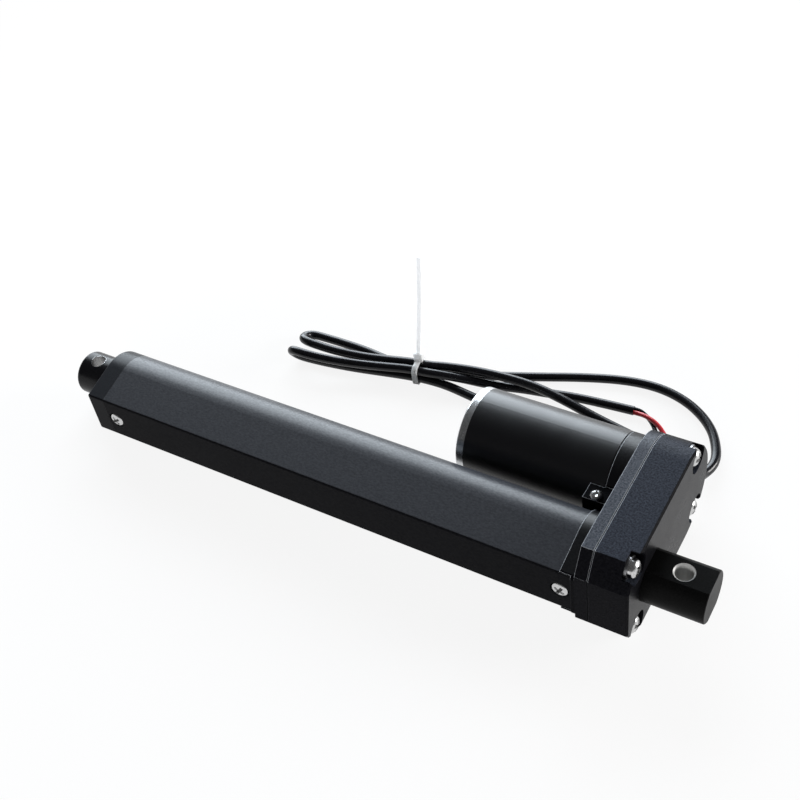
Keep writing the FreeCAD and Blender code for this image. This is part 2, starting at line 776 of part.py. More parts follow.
def motor_end_cap():
    cap = rod_along_x(can_end_x, motor_end_x, can_r, motor_y)
    cap = cap.makeFillet(can_wall / 2, edges_at_x(cap, motor_end_x))
    spigot_r = can_r - can_wall - slip_fit
    cap = cap.fuse(rod_along_x(can_end_x - end_cap_spigot, can_end_x, spigot_r, motor_y))
    hub = rod_along_x(motor_end_x - end_cap_plate, motor_end_x + end_hub_length, end_hub_r, motor_y)
    hub = hub.makeFillet(can_wall / 2, edges_at_x(hub, motor_end_x + end_hub_length))
    cap = cap.cut(rod_along_x(can_end_x - end_cap_spigot - 1, motor_end_x - end_cap_plate,
                              spigot_r - can_wall, motor_y))
    cap = cap.fuse(hub)
    # recessed face between the rim and the hub
    face = ring_along_x(motor_end_x - end_cap_plate / 2, motor_end_x + 1, spigot_r, end_hub_r, motor_y)
    cap = cap.cut(face)
    seat = rod_along_x(motor_end_x - end_cap_plate - 1, motor_end_x + end_hub_length - end_cap_plate,
                       motor_bush_r + slip_fit, motor_y)
    return cap.cut(seat).removeSplitter()


def motor_bushes():
    front = can_x - motor_hub_length + seat_gap
    rear_end = motor_end_x + end_hub_length - end_cap_plate - slip_fit
    return Part.makeCompound([ring_along_x(x, x + motor_bush_length, motor_bush_r, shaft_r + run_fit, motor_y)
                              for x in (front, rear_end - motor_bush_length)])


def motor_screws():
    seat_x = front_inner_x + motor_screw_head
    length = can_x + motor_screw_bite - seat_x
    return Part.makeCompound([pan_screw(point(seat_x, motor_y, side * motor_screw_circle), x_axis,
                                        motor_screw_head_r, motor_screw_head, motor_screw_r, length)
                              for side in (1, -1)])


def magnet_radii():
    outer = can_r - can_wall - slip_fit
    return outer, outer - magnet_thickness


def motor_magnets():
    outer, inner = magnet_radii()
    x0 = can_x + magnet_start
    half = math.radians(magnet_span / 2)
    magnets = []
    for middle in (math.pi / 2, -math.pi / 2):
        a, b = middle - half, middle + half
        spots = [[polar(r, t, motor_y) for t in (a, middle, b)] for r in (outer, inner)]
        edges = [arc(*spots[0]), line(spots[0][2], spots[1][2]),
                 arc(*reversed(spots[1])), line(spots[1][0], spots[0][0])]
        magnets.append(prism(edges, x0, x0 + magnet_length))
    return Part.makeCompound(magnets)


def core_stations():
    x0 = can_x + magnet_start + (magnet_length - core_length) / 2
    return x0, x0 + core_length


# Laminated core: a hub with five necks that end in curved shoes
def armature_core():
    x0, x1 = core_stations()
    outer = magnet_radii()[1] - air_gap
    shoe_r = outer - pole_shoe
    core = rod_along_x(x0, x1, core_hub_r, motor_y)
    shoes = ring_along_x(x0, x1, outer, shoe_r, motor_y)
    for i in range(pole_count):
        turn = 360.0 * i / pole_count
        neck = block(x0, x1, 0, shoe_r + pole_shoe / 2, -pole_neck_half, pole_neck_half)
        slot = block(x0 - 1, x1 + 1, 0, 2 * outer, -slot_opening / 2, slot_opening / 2)
        for shape, angle in ((neck, turn), (slot, turn + 180.0 / pole_count)):
            shape.rotate(point(0, 0, 0), x_axis, angle)
            shape.translate(y_axis * motor_y)
        core = core.fuse(neck)
        shoes = shoes.cut(slot)
    core = core.fuse(shoes)
    return core.cut(rod_along_x(x0 - 1, x1 + 1, shaft_r + slip_fit, motor_y)).removeSplitter()


# One coil round each neck, between the hub and the shoe
def armature_windings():
    x0, x1 = core_stations()
    shoe_r = magnet_radii()[1] - air_gap - pole_shoe
    inner_r = core_hub_r + pole_neck_half
    half = pole_neck_half + coil_bulge
    # each coil stays inside its own sector, a little clear of its neighbours
    half_pitch = math.pi / pole_count
    apex = (seat_gap / math.sin(half_pitch), 0)
    corners = [polar(2 * shoe_r, -half_pitch, apex[0]), polar(2 * shoe_r, half_pitch, apex[0])]
    edges = [line(apex, corners[0]), line(corners[0], corners[1]), line(corners[1], apex)]
    sector = prism(edges, x0 - 2 * coil_bulge, x1 + 2 * coil_bulge)
    room = rod_along_x(x0 - 2 * coil_bulge, x1 + 2 * coil_bulge, shoe_r - seat_gap)
    coils = []
    for i in range(pole_count):
        coil = block(x0 - coil_bulge, x1 + coil_bulge, inner_r, shoe_r, -half, half)
        hollow = block(x0 - seat_gap, x1 + seat_gap, inner_r - 1, shoe_r,
                       -pole_neck_half - slip_fit, pole_neck_half + slip_fit)
        coil = coil.cut(hollow)
        coil = coil.common(sector).common(room)
        coil.rotate(point(0, 0, 0), x_axis, 360.0 * i / pole_count)
        coil.translate(y_axis * motor_y)
        coils.append(coil)
    return Part.makeCompound(coils)


def commutator():
    x0 = can_x + commutator_start
    ring = ring_along_x(x0, x0 + commutator_length, commutator_r, shaft_r + slip_fit, motor_y)
    for i in range(pole_count):
        slot = block(x0 - 1, x0 + commutator_length + 1, commutator_r - segment_slot_depth, commutator_r + 1,
                     -segment_slot_half, segment_slot_half)
        slot.rotate(point(0, 0, 0), x_axis, 360.0 * (i + 0.5) / pole_count)
        slot.translate(y_axis * motor_y)
        ring = ring.cut(slot)
    return ring


def brush_plate():
    x0 = can_x + brush_plate_start
    outer = can_r - can_wall - slip_fit
    return ring_along_x(x0, x0 + brush_plate_thickness, outer, commutator_r + 2 * air_gap, motor_y)


def motor_brushes():
    x0 = can_x + brush_plate_start + brush_plate_thickness + slip_fit
    brushes = []
    for side in (1, -1):
        near = commutator_r + run_fit
        ends = sorted((motor_y + side * near, motor_y + side * (near + brush_reach)))
        brushes.append(block(x0, x0 + brush_length, ends[0], ends[1], -brush_width / 2, brush_width / 2))
    return Part.makeCompound(brushes)


def motor_shaft():
    return rod_along_x(wheel_x, motor_end_x + end_hub_length - end_cap_plate - 2 * seat_gap, shaft_r, motor_y)


def motor_pinion():
    pinion = gear_prism(pinion_teeth, wheel_x, wheel_x + idler_wheel_width, motor_y, 0.0)
    return pinion.cut(rod_along_x(wheel_x - 1, wheel_x + idler_wheel_width + 1, shaft_r + slip_fit, motor_y))


def switch_stations():
    cam_rear = nut_x + cam_setback
    cam_front = cam_rear + cam_length + stroke
    return cam_rear - switch_gap - plunger_out, cam_front + switch_gap + plunger_out


def limit_board():
    rear, front = switch_stations()
    return block(rear - switch_length - board_gap, front + switch_length + board_gap,
                 board_y, board_y + board_thickness, -board_half_width, board_half_width)


def limit_switches():
    rear, front = switch_stations()
    pair = []
    for x0, pocket_x in ((rear - switch_length, rear - plunger_in - plunger_travel), (front, front)):
        body = block(x0, x0 + switch_length, switch_y, board_y, -switch_half_width, switch_half_width)
        pocket_end = pocket_x + plunger_in + plunger_travel
        pair.append(body.cut(rod_along_x(pocket_x, pocket_end, plunger_r + plunger_fit, plunger_y)))
    return Part.makeCompound(pair)


def limit_plunger(face_x, way):
    ends = sorted((face_x - way * plunger_in, face_x + way * plunger_out))
    return rod_along_x(ends[0], ends[1], plunger_r, plunger_y)


def cable_grommet():
    seat, way = grommet_frame()
    neck = Part.makeCylinder(grommet_neck_r, grommet_bite + grommet_flange, seat - way * grommet_bite, way)
    flange = Part.makeCylinder(grommet_flange_r, 2 * grommet_flange, seat - way * grommet_flange, way)
    housing = rod_along_x(rear_face_x, seam_x, housing_half_height + slip_fit, far_centre_y)
    flange = flange.cut(housing)
    relief = Part.makeCone(grommet_neck_r, grommet_tip_r, grommet_length - grommet_flange,
                           seat + way * grommet_flange, way)
    inside = housing_prism(rear_face_x, seam_x, side_wall)
    return fused([neck, flange, relief]).cut(inside).removeSplitter()


# Surface that the lying actuator rests on: the housing's front edge and the tube's front end touch it
def rest_height(x):
    slope = (housing_half_height - arch_r) / (cap_front_x - front_x)
    return -housing_half_height + max(0.0, slope * (x - front_x))


# Two ends of a tied strand's straight part: side -1 far or 1 near, level 0 low or 1 high, way along X
def tied(side, level, way):
    turn = math.radians(tie_turn)
    along = point(math.cos(turn), math.sin(turn), 0)
    across = point(-math.sin(turn), math.cos(turn), 0)
    middle = point(tie_centre_x, tie_centre_y, tie_lift + level * strand_rise)
    middle += across * (side * strand_pitch / 2)
    return [tuple(middle - along * (way * tied_half)), tuple(middle + along * (way * tied_half))]


# Route of the cable from the grommet to its stripped end: x, y and the height over where it would lie
outer_loop = [(13.9, -68.0, 0.5), (13.9, -73.6, 0.0), (16.2, -80.0, 0.0), (20.4, -87.2, 0.0),
              (27.4, -93.8, 0.0), (36.4, -98.6, 0.0), (47.7, -100.8, 0.0), (61.0, -99.1, 0.0),
              (77.2, -93.4, 0.0), (93.3, -86.2, 0.0), (109.0, -79.5, 0.0), (125.0, -72.6, 0.5)]
upper_loop = [(157.0, -68.3, 0.2), (168.5, -69.6, 0.0), (179.4, -69.5, 0.0), (187.6, -69.2, 0.0),
              (194.0, -68.8, 0.05), (196.5, -66.5, 1.1), (196.5, -63.2, 2.55), (194.0, -60.9, 3.6),
              (187.6, -60.6, 3.6), (177.0, -61.1, 3.4), (164.5, -62.9, 3.6), (154.0, -64.9, 4.4)]
return_loop = [(129.0, -70.9, 5.2), (117.5, -74.1, 4.8), (105.4, -75.9, 4.6), (91.8, -76.7, 4.4),
               (79.0, -75.9, 3.0), (63.6, -74.1, 0.7), (48.0, -71.9, 0.0), (39.2, -70.4, 0.0),
               (33.2, -70.0, 0.0), (30.5, -65.3, 0.0), (33.3, -60.5, 0.0), (42.5, -60.2, 0.0),
               (60.0, -60.4, 0.0), (80.0, -61.2, 0.0), (98.0, -62.6, 0.0), (113.5, -64.2, 0.0),
               (126.0, -65.4, 0.4)]
lower_loop = [(154.5, -61.1, 0.3), (166.5, -58.5, 0.0), (177.4, -56.5, 0.0), (185.4, -55.4, 0.0),
              (191.9, -54.8, 0.0), (194.5, -53.5, 2.2), (194.5, -51.7, 5.4), (191.9, -50.5, 7.6),
              (185.4, -50.6, 7.6), (175.6, -53.4, 5.8), (164.0, -57.1, 4.7), (153.5, -60.0, 4.9)]
free_end = [(129.5, -65.7, 5.0), (121.0, -69.3, 3.0), (112.6, -72.4, 0.8), (104.0, -74.9, 0.0),
            (95.4, -77.3, 0.0), (86.4, -79.0, 0.0), (76.0, -81.5, 0.0), (63.6, -83.2, 0.0),
            (51.4, -84.5, 0.0)]
cable_route = (outer_loop + tied(-1, 0, 1) + upper_loop + tied(-1, 1, -1) + return_loop
               + tied(1, 0, 1) + lower_loop + tied(1, 1, -1) + free_end)
# Routes of the two cores past the end of the jacket: the red one lies over the black one
red_route = [(46.6, -83.1, 0.8), (43.2, -82.0, 1.15), (40.2, -80.7, 0.9), (37.6, -78.9, 0.4),
             (35.4, -76.9, 0.1)]
black_route = [(46.9, -85.0, -0.7), (44.2, -83.3, -0.98), (42.0, -81.2, -0.98), (40.5, -79.2, -0.98),
               (39.2, -77.4, -0.98)]


def lie(route):
    return [(x, y, rest_height(x) + cable_r + slip_fit + lift) for x, y, lift in route]


def power_cable():
    seat, way = grommet_frame()
    start = seat + way * (grommet_length + slip_fit)
    lead = start + way * cable_lead
    return cord_tube([tuple(start), tuple(lead)] + lie(cable_route), cable_r)


def cable_core(route, side):
    last = lie(cable_route[-2:])
    end = point(*last[1])
    way = (end - point(*last[0])).normalize()
    across = way.cross(z_axis).normalize()
    start = end + way * slip_fit + across * side * (core_r + slip_fit)
    return cord_tube([tuple(start), tuple(start + way * core_lead)] + lie(route), core_r)


# Closed loop round the outermost strands: straight between them, round at each
def strand_hull(centres, radius):
    edges = []
    count = len(centres)
    rims = []
    for i in range(count):
        a, b = centres[i], centres[(i + 1) % count]
        away = FreeCAD.Vector(b[1] - a[1], a[0] - b[0], 0).normalize() * radius
        rims.append(((a[0] + away.x, a[1] + away.y), (b[0] + away.x, b[1] + away.y)))
    for i in range(count):
        corner = centres[(i + 1) % count]
        leave, enter = rims[i][1], rims[(i + 1) % count][0]
        mid = FreeCAD.Vector(leave[0] + enter[0] - 2 * corner[0], leave[1] + enter[1] - 2 * corner[1], 0)
        mid = mid.normalize() * radius
        edges.append(line(*rims[i]))
        edges.append(arc(leave, (corner[0] + mid.x, corner[1] + mid.y), enter))
    return edges


def cable_tie():
    x = tie_centre_x
    low = rest_height(x) + cable_r + slip_fit + tie_lift
    high = low + strand_rise
    far = tie_centre_y - strand_pitch / 2
    near = tie_centre_y + strand_pitch / 2
    corners = [(far, low), (near, low), (near, high), (far, high)]
    inner = cable_r + tie_slack
    half = tie_width / 2
    band = prism(strand_hull(corners, inner + tie_thickness), x - half, x + half)
    band = band.cut(prism(strand_hull(corners, inner), x - tie_width, x + tie_width))
    head_y = far - inner + tie_head_depth / 2
    head_z = high + inner
    head = block(x - tie_head_width / 2, x + tie_head_width / 2, head_y - tie_head_depth / 2,
                 head_y + tie_head_depth / 2, head_z, head_z + tie_head_height)
    tail_z = head_z + tie_head_height - slip_fit
    bend = tie_tail_length / tie_tail_bow
    turns = [math.pi, math.pi - bend / 2, math.pi - bend]
    outer = [polar(tie_tail_bow, a, head_y + tie_tail_bow, tail_z) for a in turns]
    shrunk = tie_tail_bow - tie_thickness
    under = [polar(shrunk, a, head_y + tie_tail_bow, tail_z) for a in reversed(turns)]
    edges = [arc(*outer), line(outer[2], under[0]), arc(*under), line(under[2], outer[0])]
    tail = prism(edges, x - tie_tail_width / 2, x + tie_tail_width / 2)
    tail.rotate(point(x, head_y, tail_z - tie_thickness), y_axis, -tie_tail_lean)
    tie = fused([band, head, tail])
    tie.rotate(point(x, tie_centre_y, 0), z_axis, tie_turn)
    return tie


cable, cable_length, cable_bends = power_cable()
red, red_length, red_bends = cable_core(red_route, 1)
black, black_length, black_bends = cable_core(black_route, -1)
rear_switch_x, front_switch_x = switch_stations()

nodes = {
    "rear_clevis": rear_clevis(),
    "thrust_bush": thrust_bush(),
    "gear_housing_rear": gear_housing_rear(),
    "gear_housing_front": gear_housing_front(),
    "housing_gasket": housing_gasket(),
    "housing_screws": housing_screws(),
    "screw_washers": screw_washers(),
    "outer_tube": outer_tube(),
    "side_screws": side_screws(),
    "clamp_screw": clamp_screw(),
    "front_cap": front_cap(),
    "rod_wiper": rod_wiper(),
    "front_bush": front_bush(),
    "extension_rod": extension_rod(),
    "rod_tip": rod_tip(),
    "tip_pin": tip_pin(),
    "drive_nut": drive_nut(),
    "lead_screw": lead_screw(),
    "screw_gear": screw_gear(),
    "screw_tip_guide": screw_tip_guide(),
    "idler_gear": idler_gear(),
    "idler_pin": idler_pin(),
    "bearing_outer_ring": bearing_outer_ring(),
    "bearing_inner_ring": bearing_inner_ring(),
    "bearing_balls": bearing_balls(),
    "bearing_circlip": bearing_circlip(),
    "motor_can": motor_can(),
    "motor_end_cap": motor_end_cap(),
    "motor_bushes": motor_bushes(),
    "motor_screws": motor_screws(),
    "motor_magnets": motor_magnets(),
    "armature_core": armature_core(),
    "armature_windings": armature_windings(),
    "commutator": commutator(),
    "brush_plate": brush_plate(),
    "motor_brushes": motor_brushes(),
    "motor_shaft": motor_shaft(),
    "motor_pinion": motor_pinion(),
    "limit_board": limit_board(),
    "limit_switches": limit_switches(),
    "retract_plunger": limit_plunger(rear_switch_x, 1),
    "extend_plunger": limit_plunger(front_switch_x, -1),
    "cable_grommet": cable_grommet(),
    "power_cable": cable,
    "red_core": red,
    "black_core": black,
    "cable_tie": cable_tie(),
}

os.makedirs("parts", exist_ok=True)
for name, shape in nodes.items():
    shape.exportStep("parts/" + name + ".step")
    if not shape.isValid():
        print("not valid:", name)
section = math.pi * cable_r ** 2
print("cable length", round(cable_length, 1), "volume over section", round(cable.Volume / section, 1))
print("cable bend radii", [round(r, 1) for r in cable_bends])
print("core lengths", round(red_length, 1), round(black_length, 1))
print("core bend radii", [round(r, 1) for r in red_bends + black_bends])
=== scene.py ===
import bpy
import bmesh
import math
from mathutils import Matrix, Vector


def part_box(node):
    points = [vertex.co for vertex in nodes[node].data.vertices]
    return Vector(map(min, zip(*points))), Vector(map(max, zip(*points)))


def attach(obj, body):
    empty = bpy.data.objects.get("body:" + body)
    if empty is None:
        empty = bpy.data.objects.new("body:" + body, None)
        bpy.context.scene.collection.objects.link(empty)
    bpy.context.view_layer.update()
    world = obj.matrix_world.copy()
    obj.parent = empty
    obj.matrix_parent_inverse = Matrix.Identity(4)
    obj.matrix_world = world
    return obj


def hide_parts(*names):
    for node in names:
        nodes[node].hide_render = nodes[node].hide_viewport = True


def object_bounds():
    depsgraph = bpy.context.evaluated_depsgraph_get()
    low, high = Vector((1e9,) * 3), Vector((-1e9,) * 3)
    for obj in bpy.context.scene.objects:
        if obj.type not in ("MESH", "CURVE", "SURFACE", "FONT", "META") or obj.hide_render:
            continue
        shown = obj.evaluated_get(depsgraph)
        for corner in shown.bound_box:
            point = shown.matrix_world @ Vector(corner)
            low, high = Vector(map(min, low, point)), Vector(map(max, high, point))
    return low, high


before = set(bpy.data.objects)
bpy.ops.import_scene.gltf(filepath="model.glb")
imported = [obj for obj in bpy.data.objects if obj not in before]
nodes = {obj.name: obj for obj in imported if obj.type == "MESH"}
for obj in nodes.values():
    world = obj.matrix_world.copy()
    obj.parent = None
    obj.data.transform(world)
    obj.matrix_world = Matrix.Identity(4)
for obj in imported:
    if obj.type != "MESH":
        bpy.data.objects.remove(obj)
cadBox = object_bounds()
scene = bpy.context.scene
scene.view_settings.view_transform = "Standard"
print("frame loaded with", len(nodes), "nodes")

# camera as it stood over the actuator, metres
cameraSet = {
    "place": (-0.07175, 0.23145, 0.33370),
    "right": (-0.8507, -0.5084, -0.1339),
    "down": (-0.2767, 0.6495, -0.7082),
    "lens": 53.75,
    "sensor": 36.0,
    "shift": (0.0294, -0.0172),
    "clip": (0.01, 50.0),
}


def placeCamera(look):
    right = Vector(look["right"]).normalized()
    up = -Vector(look["down"])
    up = (up - right * up.dot(right)).normalized()
    back = right.cross(up)
    turn = Matrix((right, up, back)).transposed()
    data = bpy.data.cameras.new("photoCamera")
    data.lens = look["lens"]
    data.sensor_width = look["sensor"]
    data.shift_x, data.shift_y = look["shift"]
    data.clip_start, data.clip_end = look["clip"]
    obj = bpy.data.objects.new("photoCamera", data)
    obj.matrix_world = Matrix.Translation(look["place"]) @ turn.to_4x4()
    scene.collection.objects.link(obj)
    scene.camera = obj


placeCamera(cameraSet)
print("camera placed")

# the actuator lies on the housing's front edge and on the front end of the tube
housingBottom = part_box("gear_housing_rear")[0].z
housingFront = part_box("outer_tube")[0].x
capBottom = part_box("front_cap")[0].z
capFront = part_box("front_cap")[1].x
floorSlope = (capBottom - housingBottom) / (capFront - housingFront)


def floorHeight(x):
    return housingBottom + floorSlope * (x - housingFront)


def restHeight(x):
    return max(housingBottom, floorHeight(x))


# cable: metres, x and y and the height over where it would lie
cableSet = {
    "radius": 0.0019,
    "clear": 0.00005,
    "start": (0.0156, -0.05771, -0.01405),
    "lead": (0.0156, -0.06230, -0.01726),
    "route": [
        (0.0139, -0.0680, 0.0005), (0.0139, -0.0736, 0), (0.0162, -0.0800, 0), (0.0204, -0.0872, 0),
        (0.0274, -0.0938, 0), (0.0364, -0.0986, 0), (0.0477, -0.1008, 0), (0.0610, -0.0991, 0),
        (0.0772, -0.0934, 0), (0.0933, -0.0862, 0), (0.1090, -0.0795, 0), (0.1250, -0.0726, 0.0005),
        (0.13568, -0.06820, 0.00135), (0.14358, -0.06695, 0.00135), (0.1570, -0.0683, 0.0002),
        (0.1685, -0.0696, 0), (0.1794, -0.0695, 0), (0.1876, -0.0692, 0), (0.1940, -0.0688, 0.00005),
        (0.1965, -0.0665, 0.0011), (0.1965, -0.0632, 0.00255), (0.1940, -0.0609, 0.0036),
        (0.1876, -0.0606, 0.0036), (0.1770, -0.0611, 0.0034), (0.1645, -0.0629, 0.0036),
        (0.1540, -0.0649, 0.0044), (0.14358, -0.06695, 0.0055), (0.13568, -0.06820, 0.0055),
        (0.1290, -0.0709, 0.0052), (0.1175, -0.0741, 0.0048), (0.1054, -0.0759, 0.0046),
        (0.0918, -0.0767, 0.0044), (0.0790, -0.0759, 0.0030), (0.0636, -0.0741, 0.0007),
        (0.0480, -0.0719, 0), (0.0392, -0.0704, 0), (0.0332, -0.0700, 0), (0.0305, -0.0653, 0),
        (0.0333, -0.0605, 0), (0.0425, -0.0602, 0), (0.0600, -0.0604, 0), (0.0800, -0.0612, 0),
        (0.0980, -0.0626, 0), (0.1135, -0.0642, 0), (0.1260, -0.0654, 0.0004),
        (0.13502, -0.06405, 0.00135), (0.14292, -0.06280, 0.00135), (0.1545, -0.0611, 0.0003),
        (0.1665, -0.0585, 0), (0.1774, -0.0565, 0), (0.1854, -0.0554, 0), (0.1919, -0.0548, 0),
        (0.1945, -0.0535, 0.0022), (0.1945, -0.0517, 0.0054), (0.1919, -0.0505, 0.0076),
        (0.1854, -0.0506, 0.0076), (0.1756, -0.0534, 0.0058), (0.1640, -0.0571, 0.0047),
        (0.1535, -0.0600, 0.0049), (0.14292, -0.06280, 0.0055), (0.13502, -0.06405, 0.0055),
        (0.1295, -0.0657, 0.0050), (0.1210, -0.0693, 0.0030), (0.1126, -0.0724, 0.0008),
        (0.1040, -0.0749, 0), (0.0954, -0.0773, 0), (0.0864, -0.0790, 0), (0.0760, -0.0815, 0),
        (0.0636, -0.0832, 0), (0.0514, -0.0845, 0)],
    "length": 0.7155,
}
coreSet = {
    "radius": 0.0009,
    "lead": 0.002,
    "red": [(0.0466, -0.0831, 0.0008), (0.0432, -0.0820, 0.00115), (0.0402, -0.0807, 0.0009),
            (0.0376, -0.0789, 0.0004), (0.0354, -0.0769, 0.0001)],
    "black": [(0.0469, -0.0850, -0.0007), (0.0442, -0.0833, -0.00098), (0.0420, -0.0812, -0.00098),
              (0.0405, -0.0792, -0.00098), (0.0392, -0.0774, -0.00098)],
}
curveSet = {"sides": 6, "steps": 10, "order": 3}


def laid(route):
    low = cableSet["radius"] + cableSet["clear"]
    return [(x, y, restHeight(x) + low + lift) for x, y, lift in route]


def softCurve(name, points, radius):
    curve = bpy.data.curves.new(name, "CURVE")
    curve.dimensions = "3D"
    curve.bevel_depth = 1.0  # each point brings its own radius
    curve.bevel_resolution = curveSet["sides"]
    curve.resolution_u = curveSet["steps"]
    curve.use_fill_caps = True
    spline = curve.splines.new("NURBS")
    spline.points.add(len(points) - 1)
    for spot, place in zip(spline.points, points):
        spot.co = (*place, 1.0)
        spot.radius = radius
    spline.order_u = curveSet["order"]
    spline.use_endpoint_u = True
    obj = bpy.data.objects.new(name, curve)
    scene.collection.objects.link(obj)
    return obj


def makeCable():
    route = [cableSet["start"], cableSet["lead"]] + laid(cableSet["route"])
    cable = softCurve("cable", route, cableSet["radius"])
    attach(cable, "frame")
    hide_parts("power_cable")
    cores = []
    jacketEnd = Vector(route[-1])
    along = (jacketEnd - Vector(route[-2])).normalized()
    across = along.cross(Vector((0, 0, 1))).normalized()
    for colour, side in (("red", 1), ("black", -1)):
        first = jacketEnd + across * side * (coreSet["radius"] + cableSet["clear"])
        past = first + along * coreSet["lead"]
        core = softCurve(colour + "Core", [first, past] + laid(coreSet[colour]), coreSet["radius"])
        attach(core, "frame")
        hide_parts(colour + "_core")
        cores.append(core)
    return cable, cores


cable, cores = makeCable()
print("cable laid")

# pan head screws, metres and degrees
screwSet = {
    "housing_screws": {"seats": [(0.0142, 0.0108, 0.0156), (0.0142, 0.0108, -0.0156),
                                 (0.0142, -0.04349, 0.01348), (0.0142, -0.04349, -0.01348)],
                       "faces": (-1, 0, 0), "spins": (12, 47, 70, 28), "recess": "recessShadeMetal",
                       "radius": 0.0035, "height": 0.0032, "shank": 0.002, "length": 0.0148},
    "side_screws": {"seats": [(0.2327, 0.01765, 0), (0.036, 0.01765, 0)],
                    "faces": (0, 1, 0), "spins": (33, 61), "recess": "recessShadeMetal",
                    "radius": 0.0031, "height": 0.0015, "shank": 0.002, "length": 0.0069},
    "clamp_screw": {"seats": [(0.0377, -0.0162, 0.010)],
                    "faces": (0, 0, 1), "spins": (20,), "recess": "screwMetal",
                    "radius": 0.00235, "height": 0.002, "shank": 0.00125, "length": 0.0178},
}
# the cross recess in shares of the head's radius and height
recessSet = {
    "half": 0.14, "reach": 0.60, "wall": 0.05, "depth": 0.58, "rim": 0.26, "square": 0.5,
    "shallower": 0.4, "armLines": (0.34, 0.48), "rimLines": (0.8, 0.9, 0.96),
}
# the ridges in shares of a turn and of the shank's radius, pitch in metres; sharp in degrees
threadSet = {
    "pitch": 0.001, "start": 0.3, "fall": 0.4, "crest": 0.99, "root": 0.86, "point": 0.7,
    "sharp": 38,
}


def pressHead(shape, look):
    # a square grid bent into a disc and raised into a dome, with the cross pressed in
    half, reach, wall = recessSet["half"], recessSet["reach"], recessSet["wall"]
    square, rim = recessSet["square"], recessSet["rim"]
    arm = [half / 2, half, half + wall, *recessSet["armLines"], reach, reach + wall]
    steps = [0, *arm, *recessSet["rimLines"], 1]
    lines = sorted({-step for step in steps} | set(steps))
    grid = []
    for u in lines:
        row = []
        for v in lines:
            far = max(abs(u), abs(v))
            near = min(abs(u), abs(v))
            flat = Vector((u, v))
            disc = flat * (far / flat.length) if far else flat
            share = max(0, (far - square) / (1 - square))
            spot = flat.lerp(disc, share)
            rise = rim + (1 - rim) * math.sqrt(max(0, 1 - spot.length_squared))
            if near <= half and far <= reach:
                rise -= recessSet["depth"] * (1 - recessSet["shallower"] * far / reach)
            place = spot * look["radius"]
            row.append(shape.verts.new((place.x, place.y, rise * look["height"])))
        grid.append(row)
    last = len(lines) - 1
    for i in range(last):
        for j in range(last):
            cell = shape.faces.new((grid[i][j], grid[i + 1][j], grid[i + 1][j + 1], grid[i][j + 1]))
            # cross recess cells take the second material slot; for the housing and side screws that is a
            # darker metal, painted shade
            near, far = sorted(abs(lines[k] + lines[k + 1]) / 2 for k in (i, j))
            cell.material_index = int(near < half and far < reach)
    walk = [grid[i][0] for i in range(last)] + [grid[last][j] for j in range(last)]
    walk += [grid[last - i][last] for i in range(last)] + [grid[0][last - j] for j in range(last)]
    return walk


def turnShank(shape, look, ring):
    # rim, underside and a ridged shank, ring by ring down from the head's edge
    core, length = look["shank"], look["length"]
    turns = int(length / threadSet["pitch"])
    levels = [(look["radius"], 0), (core, 0)]
    for k in range(turns):
        start = -length * (k + threadSet["start"]) / turns
        levels.append((core * threadSet["crest"], start))
        levels.append((core * threadSet["root"], start - length * threadSet["fall"] / turns))
    levels.append((core * threadSet["point"], -length))
    for radius, level in levels:
        below = []
        for vert in ring:
            away = Vector((vert.co.x, vert.co.y)).normalized() * radius
            below.append(shape.verts.new((away.x, away.y, level)))
        for k in range(len(ring)):
            after = (k + 1) % len(ring)
            shape.faces.new((ring[k], below[k], below[after], ring[after]))
        ring = below
    shape.faces.new(ring)


def makeScrews(node, look):
    shape = bmesh.new()
    aim = Vector(look["faces"]).to_track_quat("Z", "Y").to_matrix().to_4x4()
    for seat, spin in zip(look["seats"], look["spins"]):
        one = bmesh.new()
        turnShank(one, look, pressHead(one, look))
        bmesh.ops.recalc_face_normals(one, faces=one.faces)
        one.transform(Matrix.Translation(seat) @ aim @ Matrix.Rotation(math.radians(spin), 4, "Z"))
        part = bpy.data.meshes.new("oneScrew")
        one.to_mesh(part)
        one.free()
        shape.from_mesh(part)
        bpy.data.meshes.remove(part)
    name = node.split("_")[0] + "PanScrews"
    mesh = bpy.data.meshes.new(name)
    shape.to_mesh(mesh)
    shape.free()
    mesh.shade_smooth()
    mesh.set_sharp_from_angle(angle=math.radians(threadSet["sharp"]))
    obj = bpy.data.objects.new(name, mesh)
    scene.collection.objects.link(obj)
    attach(obj, "frame")
    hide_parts(node)
    return obj


screws = [makeScrews(node, look) for node, look in screwSet.items()]
print("screws made", sum(len(look["seats"]) for look in screwSet.values()))

# studio: white paper sweep, one broad light low behind,
# small ones at the gear end and low in front, a weak world
studioSet = {
    "floorRadius": 6.0,
    "sweepRadius": 8.0,
    "sweepHeight": 1.2,
    "sweepSteps": 8,
    "floorSides": 96,
    "floorColor": (0.95, 0.95, 0.955, 1),
    "floorBounce": (0.42, 0.42, 0.42, 1),
    "floorRoughness": 0.9,
    "floorSpecular": 0.1,
    "floorGlow": 0.88,
    "whiteFrom": (0.15, 0.50),
    "worldColor": (1.0, 1.0, 1.0, 1),
    "worldStrength": 0.10,
    "backLight": {"place": (0.88, -1.07, 0.58), "aim": (0.10, -0.02, 0.0), "size": (1.5, 1.05),
                  "power": 42.0, "color": (0.85, 0.93, 1.0)},
    "sideLight": {"place": (-0.95, -0.70, 0.30), "aim": (0.05, 0.0, 0.0), "size": (0.6, 0.4),
                  "power": 15.0, "color": (1.0, 0.99, 0.97)},
    "frontFill": {"place": (0.10, 1.50, 0.42), "aim": (0.10, -0.03, 0.0), "size": (1.6, 0.4),
                  "power": 16.0, "color": (1.0, 1.0, 1.0), "diffuseOnly": True},
}


# short forms for the node trees below
def joinUp(tree, *pairs):
    for start, end in pairs:
        tree.links.new(start, end)


def addMath(tree, operation, kind="ShaderNodeMath"):
    node = tree.nodes.new(kind)
    node.operation = operation
    return node


